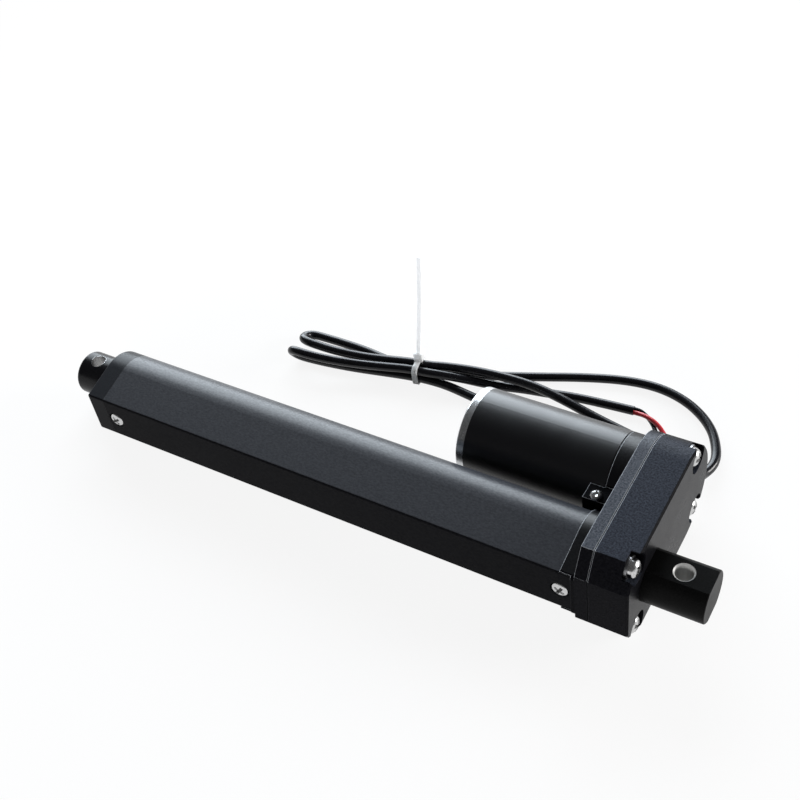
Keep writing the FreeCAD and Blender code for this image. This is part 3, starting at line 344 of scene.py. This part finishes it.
def addRange(tree, span=None, smooth=False):
    node = tree.nodes.new("ShaderNodeMapRange")
    if span:
        node.inputs["From Min"].default_value, node.inputs["From Max"].default_value = span
    if smooth:
        node.interpolation_type = "SMOOTHSTEP"
    return node


def addMix(tree, first=None, second=None):
    node = tree.nodes.new("ShaderNodeMix")
    node.data_type = "RGBA"
    if first:
        node.inputs["A"].default_value = first
    if second:
        node.inputs["B"].default_value = second
    return node


def sweepMesh():
    # a flat disc whose rim sweeps up into a low wall all round
    sides, steps = studioSet["floorSides"], studioSet["sweepSteps"]
    sweep = studioSet["sweepRadius"] - studioSet["floorRadius"]
    corners = []
    for step in range(steps + 1):
        turn = math.radians(90) * step / steps
        radius = studioSet["floorRadius"] + sweep * math.sin(turn)
        rise = studioSet["sweepHeight"] * (1 - math.cos(turn))
        for side in range(sides):
            x = radius * math.cos(math.tau * side / sides)
            y = radius * math.sin(math.tau * side / sides)
            corners.append((x, y, floorHeight(x) + rise))
    faces = [tuple(range(sides))]
    for step in range(steps):
        for side in range(sides):
            here, after = step * sides + side, step * sides + (side + 1) % sides
            faces.append((after, here, here + sides, after + sides))
    mesh = bpy.data.meshes.new("floor")
    mesh.from_pydata(corners, [], faces)
    return mesh


def paperFinish():
    mat = bpy.data.materials.new("paperFloor")
    mat.use_nodes = True
    tree = mat.node_tree
    shader = tree.nodes["Principled BSDF"]
    shader.inputs["Roughness"].default_value = studioSet["floorRoughness"]
    shader.inputs["Specular IOR Level"].default_value = studioSet["floorSpecular"]
    # seen directly or in a reflection the paper is white and keeps a soft shadow
    rays = tree.nodes.new("ShaderNodeLightPath")
    direct = addMath(tree, "MAXIMUM")
    seen = addMath(tree, "MAXIMUM")
    paper = addMix(tree, studioSet["floorBounce"], studioSet["floorColor"])
    # away from the actuator the paper turns plain white
    spot = tree.nodes.new("ShaderNodeTexCoord")
    away = addMath(tree, "DISTANCE", "ShaderNodeVectorMath")
    away.inputs[1].default_value = (Vector(cadBox[0]) + Vector(cadBox[1])) / 2
    fade = addRange(tree, studioSet["whiteFrom"], smooth=True)
    fade.inputs["To Min"].default_value = studioSet["floorGlow"]
    share = addMath(tree, "MULTIPLY")
    glow = tree.nodes.new("ShaderNodeEmission")
    both = tree.nodes.new("ShaderNodeMixShader")
    joinUp(tree,
           (rays.outputs["Is Camera Ray"], direct.inputs[0]),
           (rays.outputs["Is Glossy Ray"], direct.inputs[1]),
           (direct.outputs[0], seen.inputs[0]),
           (rays.outputs["Is Transmission Ray"], seen.inputs[1]),
           (seen.outputs[0], paper.inputs["Factor"]),
           (paper.outputs["Result"], shader.inputs["Base Color"]),
           (spot.outputs["Object"], away.inputs[0]),
           (away.outputs["Value"], fade.inputs["Value"]),
           (seen.outputs[0], share.inputs[0]),
           (fade.outputs["Result"], share.inputs[1]),
           (share.outputs[0], both.inputs[0]),
           (shader.outputs[0], both.inputs[1]),
           (glow.outputs[0], both.inputs[2]),
           (both.outputs[0], tree.nodes["Material Output"].inputs["Surface"]))
    return mat


def makeFloor():
    mesh = sweepMesh()
    mesh.materials.append(paperFinish())
    floor = bpy.data.objects.new("floor", mesh)
    scene.collection.objects.link(floor)


def makeLight(name, look):
    data = bpy.data.lights.new(name, "AREA")
    data.shape = "RECTANGLE"
    data.size, data.size_y = look["size"]
    data.energy = look["power"]
    data.color = look["color"]
    obj = bpy.data.objects.new(name, data)
    obj.visible_glossy = not look.get("diffuseOnly", False)
    obj.location = look["place"]
    beam = Vector(look["aim"]) - Vector(look["place"])
    obj.rotation_euler = beam.to_track_quat("-Z", "Y").to_euler()
    scene.collection.objects.link(obj)


def makeWorld():
    world = bpy.data.worlds.new("studioWorld")
    scene.world = world
    world.use_nodes = True
    background = world.node_tree.nodes["Background"]
    background.inputs["Color"].default_value = studioSet["worldColor"]
    background.inputs["Strength"].default_value = studioSet["worldStrength"]


makeFloor()
makeWorld()
for lightName in ("backLight", "sideLight", "frontFill"):
    makeLight(lightName, studioSet[lightName])
print("studio set")


# shared effects, each a node group with its own values in every material
def newGroup(name, inputs, outputs):
    group = bpy.data.node_groups.new(name, "ShaderNodeTree")
    for label, value in inputs.items():
        kind = "NodeSocketVector" if isinstance(value, tuple) else "NodeSocketFloat"
        socket = group.interface.new_socket(label, in_out="INPUT", socket_type=kind)
        socket.default_value = value
    for label in outputs:
        kind = "NodeSocketVector" if label == "Normal" else "NodeSocketFloat"
        group.interface.new_socket(label, in_out="OUTPUT", socket_type=kind)
    given = group.nodes.new("NodeGroupInput").outputs
    result = group.nodes.new("NodeGroupOutput").inputs
    return group, given, result


grainSet = {"detail": 4.0, "roughness": 0.62, "fleck": (0.36, 0.66)}


def buildGrain():
    group, given, result = newGroup(
        "surfaceGrain", {"Scale": 1000.0, "Stretch": (1, 1, 1)}, ["Height", "Fleck"])
    spot = group.nodes.new("ShaderNodeTexCoord")
    stretch = addMath(group, "MULTIPLY", "ShaderNodeVectorMath")
    noise = group.nodes.new("ShaderNodeTexNoise")
    noise.inputs["Detail"].default_value = grainSet["detail"]
    noise.inputs["Roughness"].default_value = grainSet["roughness"]
    spread = addRange(group, grainSet["fleck"])
    joinUp(group,
           (spot.outputs["Object"], stretch.inputs[0]),
           (given["Stretch"], stretch.inputs[1]),
           (stretch.outputs[0], noise.inputs["Vector"]),
           (given["Scale"], noise.inputs["Scale"]),
           (noise.outputs["Fac"], result["Height"]),
           (noise.outputs["Fac"], spread.inputs["Value"]),
           (spread.outputs["Result"], result["Fleck"]))
    return group


marksSet = {"scale": 60.0, "detail": 6.0, "distortion": 0.6, "spread": (0.3, 0.7)}


def buildMarks():
    group, given, result = newGroup("handlingMarks", {"Smooth": 0.3, "Dull": 0.5}, ["Roughness"])
    spot = group.nodes.new("ShaderNodeTexCoord")
    noise = group.nodes.new("ShaderNodeTexNoise")
    noise.inputs["Scale"].default_value = marksSet["scale"]
    noise.inputs["Detail"].default_value = marksSet["detail"]
    noise.inputs["Distortion"].default_value = marksSet["distortion"]
    spread = addRange(group, marksSet["spread"])
    joinUp(group,
           (spot.outputs["Object"], noise.inputs["Vector"]),
           (noise.outputs["Fac"], spread.inputs["Value"]),
           (given["Smooth"], spread.inputs["To Min"]),
           (given["Dull"], spread.inputs["To Max"]),
           (spread.outputs["Result"], result["Roughness"]))
    return group


# how far an edge turns before it gets the painted edge line, and how little of it shows on faces that don't
# look up
paintedEdgeSet = {"samples": 6, "turned": (0.985, 0.90), "lean": (0.0, 0.8), "below": 0.03}


# painted glint: a mask of rounded edges on faces that look up, where the light catches them, past From X
def buildPaintedEdge():
    group, given, result = newGroup("paintedEdgeLine", {"Radius": 0.0003, "From X": -1.0}, ["Mask", "Normal"])
    rounded = group.nodes.new("ShaderNodeBevel")
    rounded.samples = paintedEdgeSet["samples"]
    flat = group.nodes.new("ShaderNodeNewGeometry")
    turn = addMath(group, "DOT_PRODUCT", "ShaderNodeVectorMath")
    onEdge = addRange(group, paintedEdgeSet["turned"])
    spot = group.nodes.new("ShaderNodeTexCoord")
    axes = group.nodes.new("ShaderNodeSeparateXYZ")
    past = addMath(group, "GREATER_THAN")
    kept = addMath(group, "MULTIPLY")
    lean = group.nodes.new("ShaderNodeSeparateXYZ")
    upward = addRange(group, paintedEdgeSet["lean"])
    upward.inputs["To Min"].default_value = paintedEdgeSet["below"]
    upper = addMath(group, "MULTIPLY")
    joinUp(group,
           (given["Radius"], rounded.inputs["Radius"]),
           (rounded.outputs["Normal"], turn.inputs[0]),
           (flat.outputs["True Normal"], turn.inputs[1]),
           (turn.outputs["Value"], onEdge.inputs["Value"]),
           (spot.outputs["Object"], axes.inputs[0]),
           (axes.outputs["X"], past.inputs[0]),
           (given["From X"], past.inputs[1]),
           (onEdge.outputs["Result"], kept.inputs[0]),
           (past.outputs[0], kept.inputs[1]),
           (spot.outputs["Normal"], lean.inputs[0]),
           (lean.outputs["Z"], upward.inputs["Value"]),
           (kept.outputs[0], upper.inputs[0]),
           (upward.outputs["Result"], upper.inputs[1]),
           (upper.outputs[0], result["Mask"]),
           (rounded.outputs["Normal"], result["Normal"]))
    return group


def buildLitSide():
    # mask of faces that look the way of Upward, broken up by the grain; finishes paint these lit faces
    # lighter with it, as painted light, and lay their coat by it
    group, given, result = newGroup(
        "litSideMask",
        {"Fleck": 0.5, "Evenness": 0.5, "Steepest": 0.75, "Level": 0.95, "Upward": (0, 0, 1)}, ["Mask"])
    spot = group.nodes.new("ShaderNodeTexCoord")
    lean = addMath(group, "DOT_PRODUCT", "ShaderNodeVectorMath")
    upper = addRange(group, smooth=True)
    broken = addRange(group)
    kept = addMath(group, "MULTIPLY")
    joinUp(group,
           (spot.outputs["Normal"], lean.inputs[0]),
           (given["Upward"], lean.inputs[1]),
           (lean.outputs["Value"], upper.inputs["Value"]),
           (given["Steepest"], upper.inputs["From Min"]),
           (given["Level"], upper.inputs["From Max"]),
           (given["Fleck"], broken.inputs["Value"]),
           (given["Evenness"], broken.inputs["To Min"]),
           (upper.outputs["Result"], kept.inputs[0]),
           (broken.outputs["Result"], kept.inputs[1]),
           (kept.outputs[0], result["Mask"]))
    return group


def buildStation():
    # Mask lies past a station on the actuator's length, Shade is the part of it below a height
    group, given, result = newGroup("pastStation", {"Station": 0.0, "Height": 0.0}, ["Mask", "Shade"])
    spot = group.nodes.new("ShaderNodeTexCoord")
    axes = group.nodes.new("ShaderNodeSeparateXYZ")
    past = addMath(group, "GREATER_THAN")
    low = addMath(group, "LESS_THAN")
    sunk = addMath(group, "MULTIPLY")
    joinUp(group,
           (spot.outputs["Object"], axes.inputs[0]),
           (axes.outputs["X"], past.inputs[0]),
           (given["Station"], past.inputs[1]),
           (past.outputs[0], result["Mask"]),
           (axes.outputs["Z"], low.inputs[0]),
           (given["Height"], low.inputs[1]),
           (past.outputs[0], sunk.inputs[0]),
           (low.outputs[0], sunk.inputs[1]),
           (sunk.outputs[0], result["Shade"]))
    return group


def buildPinBore():
    group, given, result = newGroup("pinBore", {"Centre": (0, 0, 0), "Radius": 0.0034}, ["Mask"])
    spot = group.nodes.new("ShaderNodeTexCoord")
    shifted = addMath(group, "SUBTRACT", "ShaderNodeVectorMath")
    level = addMath(group, "MULTIPLY", "ShaderNodeVectorMath")
    level.inputs[1].default_value = (1, 1, 0)
    reach = addMath(group, "LENGTH", "ShaderNodeVectorMath")
    within = addMath(group, "LESS_THAN")
    joinUp(group,
           (spot.outputs["Object"], shifted.inputs[0]),
           (given["Centre"], shifted.inputs[1]),
           (shifted.outputs[0], level.inputs[0]),
           (level.outputs[0], reach.inputs[0]),
           (reach.outputs["Value"], within.inputs[0]),
           (given["Radius"], within.inputs[1]),
           (within.outputs[0], result["Mask"]))
    return group


grainGroup = buildGrain()
marksGroup = buildMarks()
paintedEdgeGroup = buildPaintedEdge()
litSideGroup = buildLitSide()
stationGroup = buildStation()
boreGroup = buildPinBore()
print("effects built")


def placeGroup(tree, group, values):
    node = tree.nodes.new("ShaderNodeGroup")
    node.node_tree = group
    for label, value in values.items():
        node.inputs[label].default_value = value
    return node


def overlay(tree, under, mask, color):
    blend = addMix(tree, second=(*color, 1))
    joinUp(tree, (mask, blend.inputs["Factor"]), (under, blend.inputs["A"]))
    return blend.outputs["Result"]


def addShare(tree, mask, share, under=None):
    node = addMath(tree, "MULTIPLY_ADD")
    node.inputs[1].default_value = share
    node.inputs[2].default_value = 0.0
    tree.links.new(mask, node.inputs[0])
    if under is not None:
        tree.links.new(under, node.inputs[2])
    return node.outputs[0]


# what a finish has where its own dictionary says nothing
plainLook = {
    "metallic": 0.0, "specular": 0.5, "coatRoughness": 0.1, "grainStretch": (1, 1, 1),
    "paintedLightUpward": (0, 0, 1), "edgeRadius": 0.0003, "edgeFromX": -1.0,
}


def finish(name, ownLook):
    look = {**plainLook, **ownLook}
    mat = bpy.data.materials.new(name)
    mat.use_nodes = True
    tree = mat.node_tree
    shader = tree.nodes["Principled BSDF"]
    shader.inputs["Metallic"].default_value = look["metallic"]
    shader.inputs["Specular IOR Level"].default_value = look["specular"]
    shader.inputs["Coat Roughness"].default_value = look["coatRoughness"]
    grain = placeGroup(tree, grainGroup, {"Scale": look["grainScale"], "Stretch": look["grainStretch"]})
    marks = placeGroup(tree, marksGroup, {"Smooth": look["smooth"], "Dull": look["dull"]})
    base = addMix(tree, (*look["dark"], 1), (*look["light"], 1))
    bump = tree.nodes.new("ShaderNodeBump")
    bump.inputs["Strength"].default_value = look["grainStrength"]
    bump.inputs["Distance"].default_value = look["grainDepth"]
    joinUp(tree,
           (grain.outputs["Fleck"], base.inputs["Factor"]),
           (grain.outputs["Height"], bump.inputs["Height"]))
    color = base.outputs["Result"]
    coat = None
    # painted light and shade: faces that look toward the lamps get a lighter colour and a coat, the rest
    # keep the darker base
    if "paintedLightColor" in look:
        steepest, level = look["paintedLightLean"]
        litSide = placeGroup(tree, litSideGroup, {"Evenness": look["paintedLightEvenness"], "Steepest": steepest,
                                            "Level": level, "Upward": look["paintedLightUpward"]})
        tree.links.new(grain.outputs["Fleck"], litSide.inputs["Fleck"])
        color = overlay(tree, color, litSide.outputs["Mask"], look["paintedLightColor"])
        coat = addShare(tree, litSide.outputs["Mask"], look["litSideCoat"])
    if "collarColor" in look:
        collar = placeGroup(tree, stationGroup, {"Station": look["collarFromX"], "Height": look["lugTop"]})
        color = overlay(tree, color, collar.outputs["Mask"], look["collarColor"])
        # painted shade: the low lug between tube and motor stays dull, without coat, as it lies in the
        # motor's shade
        dulled = addMath(tree, "SUBTRACT")
        dulled.use_clamp = True
        joinUp(tree,
               (addShare(tree, collar.outputs["Mask"], look["collarCoat"], coat), dulled.inputs[0]),
               (collar.outputs["Shade"], dulled.inputs[1]))
        coat = dulled.outputs[0]
    # coat only on faces that look to the rear, which brightens that side
    if "rearCoat" in look:
        rear = placeGroup(tree, litSideGroup, {"Evenness": 1.0, "Upward": (-1, 0, 0)})
        coat = addShare(tree, rear.outputs["Mask"], look["rearCoat"], coat)
    if coat is not None:
        tree.links.new(coat, shader.inputs["Coat Weight"])
    # painted edge line: a painted glint, lighter than the paint, on the housing, clevis and cap; a dark line
    # on the tube
    if "paintedEdgeColor" in look:
        edges = placeGroup(tree, paintedEdgeGroup, {"Radius": look["edgeRadius"], "From X": look["edgeFromX"]})
        tree.links.new(edges.outputs["Normal"], bump.inputs["Normal"])
        color = overlay(tree, color, edges.outputs["Mask"], look["paintedEdgeColor"])
    if "boreColor" in look:
        bore = placeGroup(tree, boreGroup, {"Centre": look["boreCentre"], "Radius": look["boreRadius"]})
        color = overlay(tree, color, bore.outputs["Mask"], look["boreColor"])
        tree.links.new(addShare(tree, bore.outputs["Mask"], look["boreMetallic"]), shader.inputs["Metallic"])
    if "glowThrough" in look:
        shader.inputs["Subsurface Weight"].default_value = look["glowThrough"]
        shader.inputs["Subsurface Radius"].default_value = (1.0, 1.0, 1.0)
        shader.inputs["Subsurface Scale"].default_value = look["glowDepth"]
    joinUp(tree,
           (color, shader.inputs["Base Color"]),
           (marks.outputs["Roughness"], shader.inputs["Roughness"]),
           (bump.outputs["Normal"], shader.inputs["Normal"]))
    return mat


# paints and metals: linear colours, grain scale per metre, depths and radii in metres
# the painted light colour of a finish lightens the faces that look toward the lamps; where a finish has one,
# its base is kept very dark for the shaded faces
finishSet = {
    "anodisedTube": {
        "dark": (0.003, 0.003, 0.004), "light": (0.008, 0.008, 0.009), "specular": 0.012,
        "smooth": 0.32, "dull": 0.38, "grainScale": 1700, "grainStretch": (0.55, 1, 1),
        "grainStrength": 0.3, "grainDepth": 0.00005, "paintedLightColor": (0.046, 0.049, 0.057),
        "paintedLightEvenness": 0.68, "paintedLightLean": (0.45, 0.78), "paintedLightUpward": (0, -0.4, 0.92), "litSideCoat": 0.7,
        "coatRoughness": 0.34, "paintedEdgeColor": (0.001, 0.001, 0.001), "edgeRadius": 0.0006,
    },
    "castPaint": {
        "dark": (0.003, 0.003, 0.004), "light": (0.008, 0.008, 0.010), "specular": 0.012,
        "smooth": 0.26, "dull": 0.34, "grainScale": 1500, "grainStrength": 0.6, "grainDepth": 0.0002,
        "paintedLightColor": (0.041, 0.047, 0.063), "paintedLightEvenness": 0.35, "paintedLightLean": (0.75, 0.95),
        "litSideCoat": 0.12, "coatRoughness": 0.36, "rearCoat": 0.24, "paintedEdgeColor": (0.50, 0.52, 0.56),
        "edgeRadius": 0.00045, "edgeFromX": 0.0249,
    },
    "frontCastPaint": {
        "dark": (0.003, 0.003, 0.004), "light": (0.008, 0.008, 0.010), "specular": 0.012,
        "smooth": 0.36, "dull": 0.44, "grainScale": 1500, "grainStrength": 0.6, "grainDepth": 0.0002,
        "paintedLightColor": (0.085, 0.094, 0.115), "paintedLightEvenness": 0.35, "paintedLightLean": (0.75, 0.95),
        "litSideCoat": 0.35, "coatRoughness": 0.34, "collarColor": (0.003, 0.003, 0.004),
        "collarFromX": 0.0304, "collarCoat": 0.35, "lugTop": 0.0105, "paintedEdgeColor": (0.48, 0.50, 0.53),
        "edgeRadius": 0.00045,
    },
    "clevisPaint": {
        "dark": (0.002, 0.002, 0.002), "light": (0.005, 0.005, 0.005), "specular": 0.05,
        "smooth": 0.40, "dull": 0.50, "grainScale": 2200, "grainStrength": 0.2, "grainDepth": 0.00006,
        "paintedEdgeColor": (0.03, 0.03, 0.032), "rearCoat": 0.13, "coatRoughness": 0.36,
        "boreColor": (0.52, 0.52, 0.51), "boreMetallic": 0.2, "boreCentre": (0, 0, 0),
        "boreRadius": 0.0037,
    },
    "capPaint": {
        "dark": (0.002, 0.002, 0.003), "light": (0.006, 0.006, 0.007), "specular": 0.03,
        "smooth": 0.34, "dull": 0.42, "grainScale": 2600, "grainStrength": 0.25, "grainDepth": 0.00006,
        "paintedLightColor": (0.020, 0.022, 0.026), "paintedLightEvenness": 0.7, "paintedLightLean": (0.45, 0.78),
        "paintedLightUpward": (0, -0.4, 0.92), "litSideCoat": 0.3, "coatRoughness": 0.30,
        "paintedEdgeColor": (0.02, 0.02, 0.022),
    },
    "tipPaint": {
        "dark": (0.003, 0.003, 0.004), "light": (0.007, 0.007, 0.008), "specular": 0.14,
        "smooth": 0.22, "dull": 0.30, "grainScale": 2600, "grainStrength": 0.15, "grainDepth": 0.00004,
        "boreColor": (0.70, 0.70, 0.70), "boreMetallic": 1.0, "boreCentre": (0.255, 0, 0),
        "boreRadius": 0.00323,
    },
    "rodMetal": {
        "dark": (0.50, 0.51, 0.52), "light": (0.60, 0.61, 0.62), "metallic": 1.0, "smooth": 0.24,
        "dull": 0.34, "grainScale": 1800, "grainStretch": (0.03, 1, 1), "grainStrength": 0.1,
        "grainDepth": 0.00003,
    },
    "canPaint": {
        "dark": (0.001, 0.001, 0.002), "light": (0.002, 0.002, 0.003), "specular": 0.5, "smooth": 0.33,
        "dull": 0.39, "grainScale": 2400, "grainStrength": 0.18, "grainDepth": 0.00005,
    },
    "zincPlate": {
        "dark": (0.52, 0.53, 0.54), "light": (0.68, 0.69, 0.70), "metallic": 1.0, "smooth": 0.22,
        "dull": 0.36, "grainScale": 900, "grainStrength": 0.15, "grainDepth": 0.00004,
    },
    "washerMetal": {
        "dark": (0.24, 0.24, 0.25), "light": (0.34, 0.34, 0.35), "metallic": 1.0, "smooth": 0.30,
        "dull": 0.44, "grainScale": 1800, "grainStrength": 0.12, "grainDepth": 0.00003,
    },
    "screwMetal": {
        "dark": (0.50, 0.50, 0.50), "light": (0.66, 0.66, 0.66), "metallic": 1.0, "smooth": 0.18,
        "dull": 0.30, "grainScale": 1800, "grainStrength": 0.1, "grainDepth": 0.00003,
    },
    # painted shade: screw metal darkened for the cross recesses
    "recessShadeMetal": {
        "dark": (0.04, 0.04, 0.04), "light": (0.10, 0.10, 0.10), "metallic": 1.0, "smooth": 0.40,
        "dull": 0.55, "grainScale": 1800, "grainStrength": 0.1, "grainDepth": 0.00003,
    },
    "plainSteel": {
        "dark": (0.40, 0.41, 0.42), "light": (0.52, 0.53, 0.54), "metallic": 1.0, "smooth": 0.28,
        "dull": 0.42, "grainScale": 1600, "grainStrength": 0.12, "grainDepth": 0.00003,
    },
    "bronzeMetal": {
        "dark": (0.44, 0.29, 0.13), "light": (0.56, 0.38, 0.18), "metallic": 1.0, "smooth": 0.34,
        "dull": 0.48, "grainScale": 2600, "grainStrength": 0.3, "grainDepth": 0.00005,
    },
    "copperWire": {
        "dark": (0.50, 0.20, 0.09), "light": (0.68, 0.31, 0.15), "metallic": 1.0, "smooth": 0.26,
        "dull": 0.40, "grainScale": 2200, "grainStretch": (0.05, 1, 1), "grainStrength": 0.8,
        "grainDepth": 0.0002,
    },
    "acetalWhite": {
        "dark": (0.72, 0.71, 0.66), "light": (0.80, 0.79, 0.75), "specular": 0.5, "smooth": 0.38,
        "dull": 0.50, "grainScale": 900, "grainStrength": 0.1, "grainDepth": 0.00004,
    },
    "mouldedBlack": {
        "dark": (0.018, 0.018, 0.020), "light": (0.030, 0.030, 0.033), "specular": 0.5, "smooth": 0.45,
        "dull": 0.58, "grainScale": 2400, "grainStrength": 0.25, "grainDepth": 0.00005,
    },
    "ferriteGrey": {
        "dark": (0.06, 0.06, 0.065), "light": (0.11, 0.11, 0.115), "specular": 0.5, "smooth": 0.55,
        "dull": 0.7, "grainScale": 1800, "grainStrength": 0.5, "grainDepth": 0.0001,
    },
    "stackedIron": {
        "dark": (0.18, 0.18, 0.19), "light": (0.36, 0.36, 0.37), "metallic": 1.0, "smooth": 0.38,
        "dull": 0.52, "grainScale": 2200, "grainStretch": (1, 0.02, 0.02), "grainStrength": 0.6,
        "grainDepth": 0.0001,
    },
    "boardGreen": {
        "dark": (0.012, 0.085, 0.035), "light": (0.02, 0.12, 0.05), "specular": 0.5, "smooth": 0.28,
        "dull": 0.4, "grainScale": 1200, "grainStrength": 0.15, "grainDepth": 0.00005,
    },
    "blackRubber": {
        "dark": (0.012, 0.012, 0.013), "light": (0.022, 0.022, 0.024), "specular": 0.4, "smooth": 0.5,
        "dull": 0.64, "grainScale": 1800, "grainStrength": 0.25, "grainDepth": 0.00006,
    },
    "vinylJacket": {
        "dark": (0.004, 0.004, 0.006), "light": (0.008, 0.008, 0.011), "specular": 0.3, "smooth": 0.22,
        "dull": 0.32, "grainScale": 700, "grainStrength": 0.2, "grainDepth": 0.00008,
    },
    "vinylRed": {
        "dark": (0.50, 0.012, 0.022), "light": (0.62, 0.025, 0.035), "specular": 0.5, "smooth": 0.3,
        "dull": 0.44, "grainScale": 900, "grainStrength": 0.15, "grainDepth": 0.00006,
    },
    "tieNylon": {
        "dark": (0.90, 0.91, 0.92), "light": (0.95, 0.96, 0.97), "specular": 0.5, "glowThrough": 0.7,
        "glowDepth": 0.002, "smooth": 0.34, "dull": 0.48, "grainScale": 700, "grainStrength": 0.1,
        "grainDepth": 0.00005,
    },
    "brushCarbon": {
        "dark": (0.03, 0.03, 0.032), "light": (0.06, 0.06, 0.062), "specular": 0.4, "smooth": 0.5,
        "dull": 0.66, "grainScale": 2400, "grainStrength": 0.3, "grainDepth": 0.00006,
    },
}
finishes = {name: finish(name, look) for name, look in finishSet.items()}
print("finishes made", len(finishes))

# the finish that each node wears
nodeFinish = {
    "anodisedTube": ["outer_tube"],
    "castPaint": ["gear_housing_rear"],
    "frontCastPaint": ["gear_housing_front"],
    "clevisPaint": ["rear_clevis"],
    "capPaint": ["front_cap"],
    "tipPaint": ["rod_tip"],
    "rodMetal": ["extension_rod"],
    "canPaint": ["motor_can"],
    "zincPlate": ["motor_end_cap", "bearing_balls"],
    "washerMetal": ["screw_washers"],
    "screwMetal": ["motor_screws"],
    "plainSteel": ["lead_screw", "screw_gear", "idler_pin", "tip_pin", "bearing_outer_ring",
                   "bearing_inner_ring", "bearing_circlip", "motor_shaft"],
    "bronzeMetal": ["thrust_bush", "motor_bushes", "motor_pinion"],
    "copperWire": ["armature_windings", "commutator"],
    "acetalWhite": ["front_bush", "drive_nut", "screw_tip_guide", "idler_gear", "retract_plunger",
                    "extend_plunger"],
    "mouldedBlack": ["brush_plate", "limit_switches"],
    "ferriteGrey": ["motor_magnets"],
    "stackedIron": ["armature_core"],
    "boardGreen": ["limit_board"],
    "blackRubber": ["housing_gasket", "rod_wiper", "cable_grommet"],
    "tieNylon": ["cable_tie"],
    "brushCarbon": ["motor_brushes"],
}


def dress(obj, name):
    obj.data.materials.clear()
    obj.data.materials.append(finishes[name])


for finishName, members in nodeFinish.items():
    for member in members:
        dress(nodes[member], finishName)
dress(cable, "vinylJacket")
dress(cores[0], "vinylRed")
dress(cores[1], "vinylJacket")
# second slot: the recess finish, painted shade on the housing and side screws
for screw, look in zip(screws, screwSet.values()):
    screw.data.materials.append(finishes["screwMetal"])
    screw.data.materials.append(finishes[look["recess"]])
print("finishes put on", sum(len(m) for m in nodeFinish.values()), "nodes")
